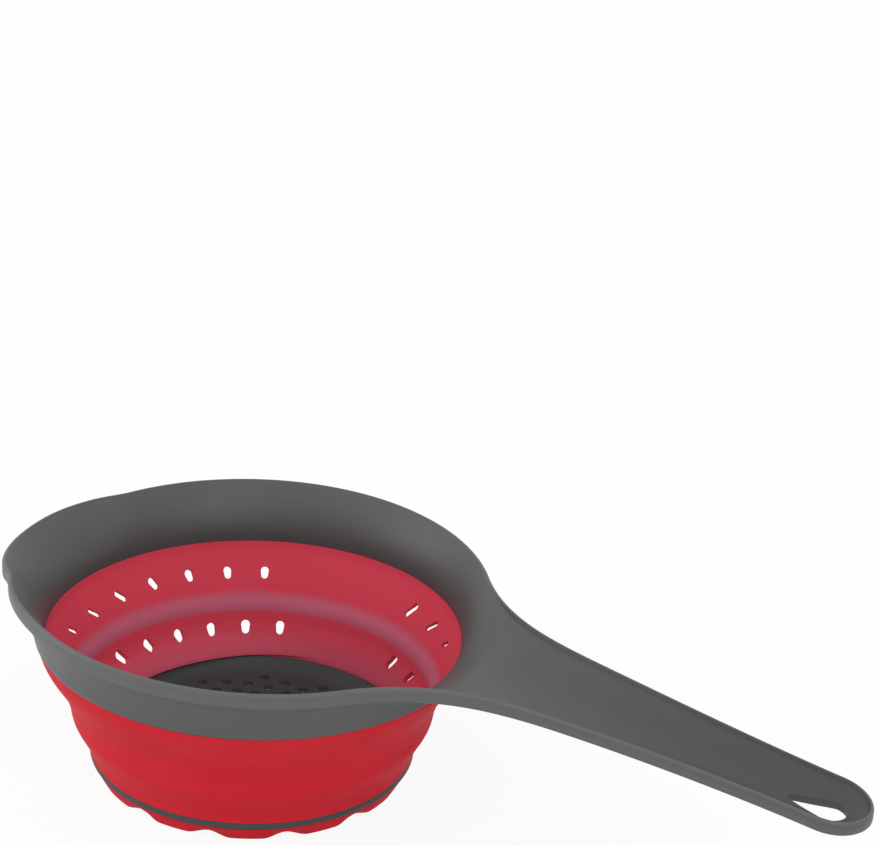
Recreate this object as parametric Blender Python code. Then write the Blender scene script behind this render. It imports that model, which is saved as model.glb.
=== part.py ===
"""Collapsible colander with one long handle, open and standing on its foot.

A stiff plastic frame holds a soft wall of two bands with a thick fold ring
between them. The lower band ends on a stiff perforated floor plate, and a soft
scalloped foot ring sits under that plate. Pressing the frame down folds the
wall, so the frame and the fold ring slide down around the base.

All lengths are in metres. X runs along the handle, away from the pouring
spout, and Z is up. The origin is on the table, below the middle of the whole
length.
"""

import math

import bmesh
import bpy
from mathutils import Vector

MM = 0.001

# Clearances and overruns
GAP = 0.3 * MM
CUT_OVERRUN = 4.0 * MM
MERGE_DISTANCE = 0.001 * MM

# Floor plate, the stiff disc that the wall and the foot are fixed to
PLATE_RADIUS = 67.6 * MM
PLATE_EDGE_THICKNESS = 3.0 * MM
PLATE_FLOOR_THICKNESS = 2.4 * MM
PLATE_FLOOR_RAISE = 0.6 * MM
PLATE_SIDE_RUN = 9.6 * MM
PLATE_LIP_HEIGHT = 4.4 * MM
PLATE_LIP_THICKNESS = 1.8 * MM
# Points up the dished side, as shares of its run and its rise
PLATE_SIDE_SHARES = ((0.55, 0.25), (1.00, 0.85))
PLATE_LIP_SHOULDER_SHARE = 0.15

# Perforations of the floor plate: a centre hole, a ring round it, and curved arms
HOLE_DIAMETER = 4.4 * MM
HOLE_RING_RADIUS = 9.4 * MM
HOLE_RING_COUNT = 4
HOLE_RING_DEGREES = 28.2
HOLE_ARM_RADIUS = 17.85 * MM
HOLE_PITCH = 8.8 * MM
HOLE_ARMS = 12
HOLE_ARM_ROWS = 5
HOLE_ARM_DEGREES = 13.2
HOLE_TWIST_DEGREES = 3.5
# Side rows: where each starts, as shares of the step to the next arm and of the pitch
HOLE_SIDE_ROW_SHARES = ((1 / 3, 2.32), (2 / 3, 2.63))
HOLE_SIDE_ROW_COUNT = 2

# Foot ring
FOOT_HEIGHT = 6.0 * MM
FOOT_STEP = 1.0 * MM
FOOT_TAPER = 2.2 * MM
FOOT_THICKNESS = 4.2 * MM
FOOT_ARCH_HEIGHT = 2.0 * MM
FOOT_SCALLOP_DEPTH = 0.9 * MM
FOOT_LOBES = 13
FOOT_LOBE_DEGREES = -4.0
FOOT_FLAT_SHARE = 0.40
# Where the foot's outside bends, as shares of its flare and its height
FOOT_BEND_SHARES = (0.60, 0.45)

# Soft wall, from the floor plate up to the frame
WALL_THICKNESS = 2.0 * MM
WALL_STEP = 0.3 * MM
LOWER_BAND_HEIGHT = 17.8 * MM
LOWER_BAND_FLARE = 7.7 * MM
LOWER_BAND_BULGE = 0.5 * MM
LOWER_BAND_SHARES = (0.0, 0.18, 0.42, 0.66, 0.86, 1.0)
FOLD_RING_HEIGHT = 8.6 * MM
FOLD_RING_FLARE = 1.5 * MM
FOLD_RING_THICKNESS = 2.4 * MM
FOLD_LEDGE_HEIGHT = 3.6 * MM
# Points up the fold ring's outside, as shares of its flare and its height
FOLD_RING_SHARES = ((0.00, 0.00), (0.00, 0.55), (0.40, 0.80), (1.00, 1.00))
FOLD_LEDGE_SHARES = (0.40, 0.50)
UPPER_BAND_HEIGHT = 23.4 * MM
UPPER_BAND_FLARE = 11.8 * MM
UPPER_BAND_BULGE = 0.7 * MM
UPPER_BAND_SHARES = (0.0, 0.16, 0.36, 0.56, 0.74)
SHOULDER_HEIGHT = 3.0 * MM

# Drain slots in the soft wall, in two groups a band
SLOT_LENGTH = 5.8 * MM
SLOT_WIDTH = 2.6 * MM
SLOT_PITCH_DEGREES = 12.0
# The slots fan out: upright in the middle of the slotted side, leaning more with distance
SLOT_FAN_MIDDLE_DEGREES = 125.0
SLOT_UPRIGHT_DEGREES = 10.0
SLOT_FAN_DEGREES = 8.0
SLOT_LEAN_DEGREES = 55.0
UPPER_SLOT_HEIGHT_SHARE = 0.44
UPPER_SLOT_FIRST_DEGREES = (42.0, 120.0)
UPPER_SLOT_COUNTS = (3, 7)
LOWER_SLOT_HEIGHT_SHARE = 0.80
LOWER_SLOT_FIRST_DEGREES = (54.0, 114.0)
LOWER_SLOT_COUNTS = (2, 6)

# Frame round the bowl: a skirt that widens up to an overhanging lip
FRAME_STEP = 0.5 * MM
FRAME_BOTTOM_WIDTH = 4.4 * MM
FRAME_FLARE = 7.4 * MM
FRAME_SLOPE_POWER = 0.62
# Towards the handle the bowl's slope is longer and straighter, over a thin web
SLOPE_SPREAD = 22.0 * MM
SPREAD_SLOPE_POWER = 0.80
WEB_THICKNESS = 3.2 * MM
SKIRT_SLOPE_POWER = 1.35
SLOPE_END_SHARE = 0.90
RIM_LIP_DEPTH = 6.4 * MM
RIM_LIP_WIDTH = 2.8 * MM
RIM_ROUNDING = 1.3 * MM
RIM_OVERHANG = 3.0 * MM

# The top edge is high at the spout and falls, ever steeper, towards the handle's end
FRAME_FULL_HEIGHT = 27.6 * MM
TOP_FALL_DEGREES = 8.3
TOP_FALL_LEAD = 1.9 * MM
TOP_FALL_SOFTNESS = 106.5 * MM

# Pouring spout, nearly opposite the handle, with a broad shoulder on one side
SPOUT_REACH = 7.5 * MM
SPOUT_DROP = 2.8 * MM
SPOUT_TURN_DEGREES = 7.0
SPOUT_HALF_DEGREES = 25.8
SPOUT_ROUND_POWER = 0.65
SHOULDER_REACH = 2.9 * MM
SHOULDER_RISE_DEGREES = (-20.0, 0.0)
SHOULDER_FALL_DEGREES = (33.2, 65.5)

# Handle, measured out from the rim
HANDLE_LENGTH = 167.6 * MM
HANDLE_END_RADIUS = 16.8 * MM
HANDLE_ROOT_WIDENING = 15.4 * MM
HANDLE_TAPER_POWER = 1.65
HANDLE_EDGE_DEPTH = 5.3 * MM
HANDLE_DISH = 5.2 * MM
HANDLE_BELLY = 4.2 * MM
FLARE_LENGTH = 55.8 * MM
FLARE_START_SHARE = 0.786
FLARE_POWER = 3.43
DISH_FADE_HEIGHT = 12.0 * MM
BLEND_HEIGHT = 1.8 * MM

# Teardrop hang hole near the handle's end
HANG_HOLE_RADIUS = 6.8 * MM
HANG_HOLE_POINT_RADIUS = 2.2 * MM
HANG_HOLE_LENGTH = 22.8 * MM
HANG_HOLE_MARGIN = 8.1 * MM

# Mesh fineness
RING_STEPS = 72
FLOOR_HOLE_SIDES = 6
HANG_HOLE_STEPS = 10
HANG_HOLE_POINT_STEPS = 3
SLOT_END_STEPS = 3
LOBE_STEPS = 8
CAP_STEPS = 6
HANDLE_SIDE_STEPS = 12
HANDLE_SIDE_POWER = 0.75
RIM_STEPS = 26
SLOPE_STATIONS = 4
SURFACE_STATIONS = 5
UNDERSIDE_STATIONS = 4
SKIRT_STATIONS = 3
SKIRT_TOP_HALVINGS = 24

# Heights above the table
PLATE_TOP = FOOT_HEIGHT + PLATE_EDGE_THICKNESS
LOWER_BAND_BOTTOM = PLATE_TOP + GAP
LOWER_BAND_TOP = LOWER_BAND_BOTTOM + LOWER_BAND_HEIGHT
FOLD_RING_BOTTOM = LOWER_BAND_TOP + GAP
FOLD_RING_TOP = FOLD_RING_BOTTOM + FOLD_RING_HEIGHT
UPPER_BAND_BOTTOM = FOLD_RING_TOP + GAP
UPPER_BAND_TOP = UPPER_BAND_BOTTOM + UPPER_BAND_HEIGHT
FRAME_BOTTOM = UPPER_BAND_TOP + GAP

# Radii from the floor plate outwards
FOOT_TOP_RADIUS = PLATE_RADIUS - FOOT_STEP
FOOT_BOTTOM_RADIUS = FOOT_TOP_RADIUS - FOOT_TAPER
WALL_BOTTOM_RADIUS = PLATE_RADIUS + WALL_STEP
FOLD_RING_RADIUS = WALL_BOTTOM_RADIUS + LOWER_BAND_FLARE
FOLD_RING_TOP_RADIUS = FOLD_RING_RADIUS + FOLD_RING_FLARE
WALL_TOP_RADIUS = FOLD_RING_TOP_RADIUS + UPPER_BAND_FLARE
FRAME_SKIRT_RADIUS = WALL_TOP_RADIUS + FRAME_STEP
FRAME_INNER_RADIUS = FRAME_SKIRT_RADIUS - FRAME_BOTTOM_WIDTH
RIM_RADIUS = FRAME_SKIRT_RADIUS + FRAME_FLARE

# Slopes of the two bands, and the wall's thickness measured level across each
LOWER_BAND_SLOPE = LOWER_BAND_FLARE / LOWER_BAND_HEIGHT
UPPER_BAND_SLOPE = UPPER_BAND_FLARE / UPPER_BAND_HEIGHT
LOWER_BAND_ACROSS = WALL_THICKNESS * math.hypot(1, LOWER_BAND_SLOPE)
UPPER_BAND_ACROSS = WALL_THICKNESS * math.hypot(1, UPPER_BAND_SLOPE)
PLATE_LIP_RADIUS = WALL_BOTTOM_RADIUS - LOWER_BAND_ACROSS - GAP
PLATE_FLOOR_RADIUS = PLATE_LIP_RADIUS - PLATE_SIDE_RUN

# Places along the handle
HANDLE_END = RIM_RADIUS + HANDLE_LENGTH
HANDLE_END_CENTRE = HANDLE_END - HANDLE_END_RADIUS
TOP_FALL_START = RIM_RADIUS + TOP_FALL_LEAD
FLARE_START = RIM_RADIUS * FLARE_START_SHARE
FLARE_END = RIM_RADIUS + FLARE_LENGTH
HANDLE_FADE_START = FLARE_START * FLARE_START_SHARE

RED_SILICONE = (0.48, 0.020, 0.030, 1.0)
GREY_PLASTIC = (0.115, 0.115, 0.115, 1.0)
DARK_PLASTIC = (0.060, 0.060, 0.062, 1.0)


def clear_scene():
    for item in list(bpy.data.objects):
        bpy.data.objects.remove(item, do_unlink=True)


def make_material(name, colour, roughness):
    material = bpy.data.materials.new(name)
    material.use_nodes = True
    shader = material.node_tree.nodes["Principled BSDF"]
    shader.inputs["Base Color"].default_value = colour
    shader.inputs["Roughness"].default_value = roughness
    shader.inputs["Metallic"].default_value = 0.0
    return material


def polar(radius, angle, height):
    return Vector((radius * math.cos(angle), radius * math.sin(angle), height))


def smooth_step(value):
    value = min(max(value, 0.0), 1.0)
    return value * value * (3 - 2 * value)


def mix(start, end, share):
    return start + (end - start) * share


def add_object(name, mesh_data, material=None, as_cutter=False):
    """Link a mesh as an object standing on the bowl's axis."""
    mesh = bpy.data.meshes.new(name)
    bmesh.ops.remove_doubles(mesh_data, verts=mesh_data.verts, dist=MERGE_DISTANCE)
    bmesh.ops.recalc_face_normals(mesh_data, faces=mesh_data.faces)
    mesh_data.to_mesh(mesh)
    mesh_data.free()
    item = bpy.data.objects.new(name, mesh)
    bpy.context.scene.collection.objects.link(item)
    item.location = (bowl_axis_x(), 0, 0)
    if as_cutter:
        item.hide_render = True
        item.display_type = "WIRE"
    else:
        mesh.materials.append(material)
        mesh.shade_smooth()
        mesh.set_sharp_from_angle(angle=math.radians(35))
    return item


def cut_with(item, cutter):
    cut = item.modifiers.new(cutter.name, "BOOLEAN")
    cut.operation = "DIFFERENCE"
    cut.object = cutter


def turned_body(profile, steps):
    """Turn a closed profile of (radius, height) points round the bowl's axis."""
    body = bmesh.new()
    points = [body.verts.new((radius, 0, height)) for radius, height in profile]
    edges = [body.edges.new((a, b)) for a, b in zip(points, points[1:] + points[:1])]
    bmesh.ops.spin(
        body,
        geom=points + edges,
        cent=(0, 0, 0),
        axis=(0, 0, 1),
        angle=2 * math.pi,
        steps=steps,
        use_merge=True,
    )
    return body


def lofted_ring(loops):
    """Join closed loops of points, one after another, into one closed ring."""
    body = bmesh.new()
    rows = [[body.verts.new(point) for point in loop] for loop in loops]
    for row, after in zip(rows, rows[1:] + rows[:1]):
        for a, b, c, d in zip(row, row[1:] + row[:1], after[1:] + after[:1], after):
            body.faces.new((a, b, c, d))
    return body


def prism(outline, bottom, top, body):
    """Add an upright prism of an outline of (x, y) points to a mesh."""
    low = [body.verts.new((x, y, bottom)) for x, y in outline]
    high = [body.verts.new((x, y, top)) for x, y in outline]
    body.faces.new(low[::-1])
    body.faces.new(high)
    for a, b, c, d in zip(low, low[1:] + low[:1], high[1:] + high[:1], high):
        body.faces.new((a, b, c, d))


# Foot ring


def lobe_wave(angle):
    """0 on the flat of a lobe, 1 in the middle of the arch between two lobes."""
    turn = (angle - math.radians(FOOT_LOBE_DEGREES)) * FOOT_LOBES / (2 * math.pi)
    from_lobe = abs(turn - round(turn)) * 2
    return smooth_step((from_lobe - FOOT_FLAT_SHARE) / (1 - FOOT_FLAT_SHARE))


def build_foot_ring(material):
    loops = []
    steps = FOOT_LOBES * LOBE_STEPS
    top = FOOT_HEIGHT - GAP
    for step in range(steps):
        angle = math.radians(FOOT_LOBE_DEGREES) + 2 * math.pi * step / steps
        wave = lobe_wave(angle)
        low = FOOT_ARCH_HEIGHT * wave
        foot_radius = FOOT_BOTTOM_RADIUS - FOOT_SCALLOP_DEPTH * wave
        inner_radius = FOOT_BOTTOM_RADIUS - FOOT_THICKNESS
        bend_out, bend_up = FOOT_BEND_SHARES
        profile = (
            (inner_radius, low),
            (foot_radius, low),
            (mix(foot_radius, FOOT_TOP_RADIUS, bend_out), mix(low, top, bend_up)),
            (FOOT_TOP_RADIUS, top),
            (inner_radius, top),
        )
        loops.append([polar(radius, angle, height) for radius, height in profile])
    return add_object("foot_ring", lofted_ring(loops), material)


# Floor plate


def floor_hole_centres():
    """The perforations as (radius, angle): a centre hole, a ring, and curved arms."""
    centres = [(0.0, 0.0)]
    ring_start = math.radians(HOLE_RING_DEGREES)
    for number in range(HOLE_RING_COUNT):
        centres.append((HOLE_RING_RADIUS, ring_start + 2 * math.pi * number / HOLE_RING_COUNT))
    arm_step = 2 * math.pi / HOLE_ARMS
    twist = math.radians(HOLE_TWIST_DEGREES)
    for arm in range(HOLE_ARMS):
        arm_angle = math.radians(HOLE_ARM_DEGREES) + arm * arm_step
        for row in range(HOLE_ARM_ROWS):
            centres.append((HOLE_ARM_RADIUS + row * HOLE_PITCH, arm_angle + row * twist))
        for turn_share, start_share in HOLE_SIDE_ROW_SHARES:
            for row in range(HOLE_SIDE_ROW_COUNT):
                out = start_share + row
                turn = arm_angle + turn_share * arm_step + out * twist
                centres.append((HOLE_ARM_RADIUS + out * HOLE_PITCH, turn))
    return centres


def build_floor_plate(material):
    floor_bottom = FOOT_HEIGHT + PLATE_FLOOR_RAISE
    floor_top = floor_bottom + PLATE_FLOOR_THICKNESS
    lip_top = PLATE_TOP + PLATE_LIP_HEIGHT
    lip_inside = PLATE_LIP_RADIUS - PLATE_LIP_THICKNESS
    seat_inside = FOOT_BOTTOM_RADIUS - FOOT_THICKNESS - PLATE_LIP_THICKNESS
    profile = [(0.0, floor_bottom), (0.0, floor_top), (PLATE_FLOOR_RADIUS, floor_top)]
    for run, rise in PLATE_SIDE_SHARES:
        profile.append((
            mix(PLATE_FLOOR_RADIUS, lip_inside, run),
            mix(floor_top, lip_top, rise),
        ))
    profile += [
        (PLATE_LIP_RADIUS - PLATE_LIP_THICKNESS / 2, lip_top),
        (PLATE_LIP_RADIUS, mix(lip_top, PLATE_TOP, PLATE_LIP_SHOULDER_SHARE)),
        (PLATE_LIP_RADIUS, PLATE_TOP),
        (PLATE_RADIUS, PLATE_TOP),
        (PLATE_RADIUS, FOOT_HEIGHT),
        (seat_inside, FOOT_HEIGHT),
        (seat_inside - PLATE_FLOOR_RAISE, floor_bottom),
    ]
    plate = add_object("floor_plate", turned_body(profile, RING_STEPS), material)
    holes = bmesh.new()
    for radius, angle in floor_hole_centres():
        centre = polar(radius, angle, 0.0)
        outline = []
        for side in range(FLOOR_HOLE_SIDES):
            turn = angle + 2 * math.pi * side / FLOOR_HOLE_SIDES
            point = centre + polar(HOLE_DIAMETER / 2, turn, 0.0)
            outline.append((point.x, point.y))
        prism(outline, floor_bottom - CUT_OVERRUN, floor_top + CUT_OVERRUN, holes)
    cut_with(plate, add_object("floor_hole_cutter", holes, as_cutter=True))
    return plate


# Soft wall


def band_radius(bottom_radius, top_radius, bulge, share):
    """Outer radius of a band at a share of its height, bulging between its ends."""
    return mix(bottom_radius, top_radius, share) + bulge * math.sin(math.pi * share)


def slot_lean(degrees):
    """How far a slot leans away from the middle of the slotted side, in radians."""
    from_middle = degrees - SLOT_FAN_MIDDLE_DEGREES
    beyond = max(abs(from_middle) - SLOT_UPRIGHT_DEGREES, 0.0)
    lean = SLOT_LEAN_DEGREES * beyond / (beyond + SLOT_FAN_DEGREES)
    return math.radians(math.copysign(lean, from_middle))


def slot_cutter(name, groups, radius, height, slope):
    """Slots with round ends, cut square to the sloping wall."""
    slots = bmesh.new()
    half_width = SLOT_WIDTH / 2
    half_straight = SLOT_LENGTH / 2 - half_width
    outline = []
    for end in (1, -1):
        for step in range(SLOT_END_STEPS + 1):
            turn = math.pi * step / SLOT_END_STEPS
            across = half_width * math.cos(turn) * end
            along = half_straight * end + half_width * math.sin(turn) * end
            outline.append((across, along))
    for first_degrees, count in groups:
        for number in range(count):
            degrees = first_degrees + number * SLOT_PITCH_DEGREES
            angle = math.radians(degrees)
            lean = slot_lean(degrees)
            out = Vector((math.cos(angle), math.sin(angle), 0.0))
            side = Vector((-math.sin(angle), math.cos(angle), 0.0))
            up_wall = (out * slope + Vector((0, 0, 1))).normalized()
            through = side.cross(up_wall).normalized()
            slot_long = up_wall * math.cos(lean) + side * math.sin(lean)
            slot_across = side * math.cos(lean) - up_wall * math.sin(lean)
            centre = polar(radius, angle, height)
            faces = []
            for depth in (-CUT_OVERRUN, CUT_OVERRUN):
                faces.append([
                    slots.verts.new(centre + through * depth + slot_across * x + slot_long * y)
                    for x, y in outline
                ])
            inside, outside = faces
            slots.faces.new(inside[::-1])
            slots.faces.new(outside)
            for a, b, c, d in zip(
                inside, inside[1:] + inside[:1], outside[1:] + outside[:1], outside
            ):
                slots.faces.new((a, b, c, d))
    return add_object(name, slots, as_cutter=True)


def band_outside(bottom, top, bulge, shares):
    """Outside of a band as (radius, height) points, from its bottom to its top end."""
    bottom_radius, bottom_height = bottom
    top_radius, top_height = top
    return [
        (
            band_radius(bottom_radius, top_radius, bulge, share),
            mix(bottom_height, top_height, share),
        )
        for share in shares
    ]


def build_lower_band(material):
    bottom = (WALL_BOTTOM_RADIUS, LOWER_BAND_BOTTOM)
    top = (FOLD_RING_RADIUS, LOWER_BAND_TOP)
    outside = band_outside(bottom, top, LOWER_BAND_BULGE, LOWER_BAND_SHARES)
    inside = [(radius - LOWER_BAND_ACROSS, height) for radius, height in reversed(outside)]
    band = add_object("lower_wall_band", turned_body(outside + inside, RING_STEPS), material)
    slot_at = band_outside(bottom, top, LOWER_BAND_BULGE, (LOWER_SLOT_HEIGHT_SHARE,))[0]
    radius = slot_at[0] - LOWER_BAND_ACROSS / 2
    groups = tuple(zip(LOWER_SLOT_FIRST_DEGREES, LOWER_SLOT_COUNTS))
    cutter = slot_cutter("lower_slot_cutter", groups, radius, slot_at[1], LOWER_BAND_SLOPE)
    cut_with(band, cutter)
    return band


def build_fold_ring(material):
    """The thick ring where the wall folds, with a ledge on its inside."""
    bore = FOLD_RING_RADIUS - FOLD_RING_THICKNESS
    top_bore = FOLD_RING_TOP_RADIUS - WALL_THICKNESS
    ledge_bottom = FOLD_RING_TOP - FOLD_LEDGE_HEIGHT
    ledge_in, ledge_up = FOLD_LEDGE_SHARES
    profile = [(bore, FOLD_RING_BOTTOM)]
    for flare, rise in FOLD_RING_SHARES:
        profile.append((
            mix(FOLD_RING_RADIUS, FOLD_RING_TOP_RADIUS, flare),
            mix(FOLD_RING_BOTTOM, FOLD_RING_TOP, rise),
        ))
    profile += [
        (top_bore, FOLD_RING_TOP),
        (mix(bore, top_bore, ledge_in), mix(ledge_bottom, FOLD_RING_TOP, ledge_up)),
        (bore, ledge_bottom),
    ]
    return add_object("fold_ring", turned_body(profile, RING_STEPS), material)


def build_upper_band(material):
    """The upper band, with a thicker bead under the frame."""
    bottom = (FOLD_RING_TOP_RADIUS, UPPER_BAND_BOTTOM)
    top = (WALL_TOP_RADIUS, UPPER_BAND_TOP)
    shoulder_share = 1 - SHOULDER_HEIGHT / UPPER_BAND_HEIGHT
    shares = UPPER_BAND_SHARES + (shoulder_share,)
    below_bead = band_outside(bottom, top, UPPER_BAND_BULGE, shares)
    bead = [(WALL_TOP_RADIUS, UPPER_BAND_TOP), (FRAME_INNER_RADIUS, UPPER_BAND_TOP)]
    inside = [(radius - UPPER_BAND_ACROSS, height) for radius, height in reversed(below_bead)]
    profile = below_bead + bead + inside
    band = add_object("upper_wall_band", turned_body(profile, RING_STEPS), material)
    slot_at = band_outside(bottom, top, UPPER_BAND_BULGE, (UPPER_SLOT_HEIGHT_SHARE,))[0]
    radius = slot_at[0] - UPPER_BAND_ACROSS / 2
    groups = tuple(zip(UPPER_SLOT_FIRST_DEGREES, UPPER_SLOT_COUNTS))
    cutter = slot_cutter("upper_slot_cutter", groups, radius, slot_at[1], UPPER_BAND_SLOPE)
    cut_with(band, cutter)
    return band


# Frame: rim, spout and handle in one moulding


def degrees_past_back(angle):
    """Turn past the point opposite the handle, positive on the side of negative y."""
    return math.degrees(angle) % 360 - 180


def spout_share(angle):
    """1 at the middle of the spout, falling to 0 at its two ends."""
    from_middle = (degrees_past_back(angle) - SPOUT_TURN_DEGREES) / SPOUT_HALF_DEGREES
    return max(0.0, 1 - from_middle * from_middle) ** SPOUT_ROUND_POWER


def shoulder_share(angle):
    past = degrees_past_back(angle)
    rise_start, rise_end = SHOULDER_RISE_DEGREES
    fall_start, fall_end = SHOULDER_FALL_DEGREES
    rise = smooth_step((past - rise_start) / (rise_end - rise_start))
    fall = smooth_step((fall_end - past) / (fall_end - fall_start))
    return rise * fall


def rim_radius(angle):
    return RIM_RADIUS + SPOUT_REACH * spout_share(angle) + SHOULDER_REACH * shoulder_share(angle)


def handle_half_width(along):
    """Half the handle's width without its flare, narrowing to the round end."""
    taper = max((HANDLE_END_CENTRE - along) / (HANDLE_END_CENTRE - RIM_RADIUS), 0.0)
    return HANDLE_END_RADIUS + HANDLE_ROOT_WIDENING * taper ** HANDLE_TAPER_POWER


def flared_half_width(along):
    at_start = math.sqrt(RIM_RADIUS ** 2 - FLARE_START ** 2)
    flare = at_start - handle_half_width(FLARE_START)
    share = max((FLARE_END - along) / (FLARE_END - FLARE_START), 0.0)
    return handle_half_width(along) + flare * share ** FLARE_POWER


def half_outline(side):
    """The frame's outer edge from the handle's tip round to the back, on one side of y."""
    points = []
    for step in range(CAP_STEPS):
        turn = math.pi / 2 * step / CAP_STEPS
        along = HANDLE_END_CENTRE + HANDLE_END_RADIUS * math.cos(turn)
        points.append((along, side * HANDLE_END_RADIUS * math.sin(turn)))
    for step in range(HANDLE_SIDE_STEPS):
        share = (step / HANDLE_SIDE_STEPS) ** HANDLE_SIDE_POWER
        along = mix(HANDLE_END_CENTRE, FLARE_START, share)
        points.append((along, side * flared_half_width(along)))
    first = math.acos(FLARE_START_SHARE)
    for step in range(RIM_STEPS + 1):
        angle = mix(first, math.pi, step / RIM_STEPS)
        radius = rim_radius(side * angle)
        points.append((radius * math.cos(angle), side * radius * math.sin(angle)))
    return points


def whole_outline():
    return half_outline(1) + half_outline(-1)[-2:0:-1]


def bowl_axis_x():
    """The bowl's axis stands off the origin, which is below the middle of the length."""
    places = [x for x, y in whole_outline()]
    return -(min(places) + max(places)) / 2


def rim_top(along, angle):
    """Height of the top edge: a hyperbola along the handle, lowered at the spout."""
    beyond = along - TOP_FALL_START
    fall = (beyond + math.hypot(beyond, TOP_FALL_SOFTNESS)) / 2
    level = FRAME_BOTTOM + FRAME_FULL_HEIGHT - math.tan(math.radians(TOP_FALL_DEGREES)) * fall
    return level - SPOUT_DROP * spout_share(angle) ** 2


def edge_depth(along):
    share = smooth_step((along - FLARE_START) / (FLARE_END - FLARE_START))
    return mix(RIM_LIP_DEPTH, HANDLE_EDGE_DEPTH, share)


def handle_fade(along):
    """0 over the bowl and 1 from the rim outwards."""
    return smooth_step((along - HANDLE_FADE_START) / (RIM_RADIUS - HANDLE_FADE_START))


def edge_nearness(along, across, inset):
    """0 on the handle's middle line and 1 at its edge, also round the end."""
    if along > HANDLE_END_CENTRE:
        reach = math.hypot(along - HANDLE_END_CENTRE, across)
        return min(reach / (HANDLE_END_RADIUS - inset), 1.0)
    if along > FLARE_START:
        half = flared_half_width(along)
    else:
        half = math.sqrt(max(RIM_RADIUS ** 2 - along ** 2, RIM_RADIUS ** 2 - FLARE_START ** 2))
    return min(abs(across) / (half - inset), 1.0)


def soft_minimum(first, second):
    """The lower of two heights, blended where they are close."""
    lower = min(first, second)
    apart = abs(first - second) / BLEND_HEIGHT
    return lower - BLEND_HEIGHT * math.log(1 + math.exp(-apart))


def spread_share(edge_radius, angle):
    """0 where the outline is the rim itself, nearing 1 where the handle runs far out."""
    beyond = max(edge_radius - rim_radius(angle), 0.0)
    return beyond / math.hypot(beyond, SLOPE_SPREAD)


def slope_power(spread):
    return mix(FRAME_SLOPE_POWER, SPREAD_SLOPE_POWER, spread)


def slope_height(radius, angle, spread):
    """Inner slope of the bowl, from the frame's bottom edge up to the lip."""
    inside = rim_radius(angle) + SLOPE_SPREAD * spread - RIM_LIP_WIDTH
    lip_top = rim_top(radius * math.cos(angle), angle) - RIM_ROUNDING
    share = min(max((radius - FRAME_INNER_RADIUS) / (inside - FRAME_INNER_RADIUS), 0.0), 1.0)
    return mix(FRAME_BOTTOM, lip_top, share ** slope_power(spread))


def surface_height(radius, angle, spread):
    """Top of the moulding: the bowl's slope, running out into the dished handle."""
    along = radius * math.cos(angle)
    across = radius * math.sin(angle)
    near = edge_nearness(along, across, RIM_LIP_WIDTH)
    dish = rim_top(along, angle) - RIM_ROUNDING - HANDLE_DISH * (1 - near * near)
    raised_dish = dish + DISH_FADE_HEIGHT * (1 - handle_fade(along))
    return soft_minimum(slope_height(radius, angle, spread), raised_dish)


def underside_height(radius, angle, spread):
    """Underside of the lip, the web and the handle, which hangs lower under the dish."""
    along = radius * math.cos(angle)
    across = radius * math.sin(angle)
    near = edge_nearness(along, across, 0.0)
    belly = HANDLE_BELLY * (1 - near * near) * handle_fade(along)
    below_edge = rim_top(along, angle) - edge_depth(along) - belly
    return min(below_edge, slope_height(radius, angle, spread) - WEB_THICKNESS)


def skirt_radius(height, angle):
    """Outer radius of the skirt below the lip, which widens upwards."""
    share = (height - FRAME_BOTTOM) / (FRAME_FULL_HEIGHT - RIM_LIP_DEPTH)
    widest = rim_radius(angle) - RIM_OVERHANG
    return mix(FRAME_SKIRT_RADIUS, widest, share ** SKIRT_SLOPE_POWER)


def skirt_top(angle, spread):
    """Height where the skirt meets the underside, by halving the range again and again."""
    low = FRAME_BOTTOM
    high = FRAME_BOTTOM + FRAME_FULL_HEIGHT
    for step in range(SKIRT_TOP_HALVINGS):
        middle = (low + high) / 2
        if underside_height(skirt_radius(middle, angle), angle, spread) > middle:
            low = middle
        else:
            high = middle
    return low


def frame_section(edge_radius, angle):
    """One upright section of the frame, as a closed list of (radius, height)."""
    inside = edge_radius - RIM_LIP_WIDTH
    spread = spread_share(edge_radius, angle)
    slope_end = min(
        rim_radius(angle) + SLOPE_SPREAD * spread - RIM_LIP_WIDTH - RIM_ROUNDING,
        mix(FRAME_INNER_RADIUS, inside, SLOPE_END_SHARE),
    )
    section = [(FRAME_INNER_RADIUS, FRAME_BOTTOM)]
    for station in range(1, SLOPE_STATIONS + 1):
        share = (station / SLOPE_STATIONS) ** (1 / slope_power(spread))
        radius = mix(FRAME_INNER_RADIUS, slope_end, share)
        section.append((radius, surface_height(radius, angle, spread)))
    for station in range(1, SURFACE_STATIONS + 1):
        radius = mix(slope_end, inside, station / SURFACE_STATIONS)
        section.append((radius, surface_height(radius, angle, spread)))
    along = edge_radius * math.cos(angle)
    top = rim_top(along, angle)
    low = top - edge_depth(along)
    section += [
        (edge_radius - RIM_LIP_WIDTH / 2, top),
        (edge_radius, top - RIM_ROUNDING),
        (edge_radius, low),
    ]
    skirt_height = skirt_top(angle, spread)
    skirt_edge = skirt_radius(skirt_height, angle)
    for station in range(1, UNDERSIDE_STATIONS):
        radius = mix(edge_radius, skirt_edge, station / UNDERSIDE_STATIONS)
        section.append((radius, underside_height(radius, angle, spread)))
    for station in range(SKIRT_STATIONS + 1):
        height = mix(skirt_height, FRAME_BOTTOM, station / SKIRT_STATIONS)
        section.append((skirt_radius(height, angle), height))
    return section


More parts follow.
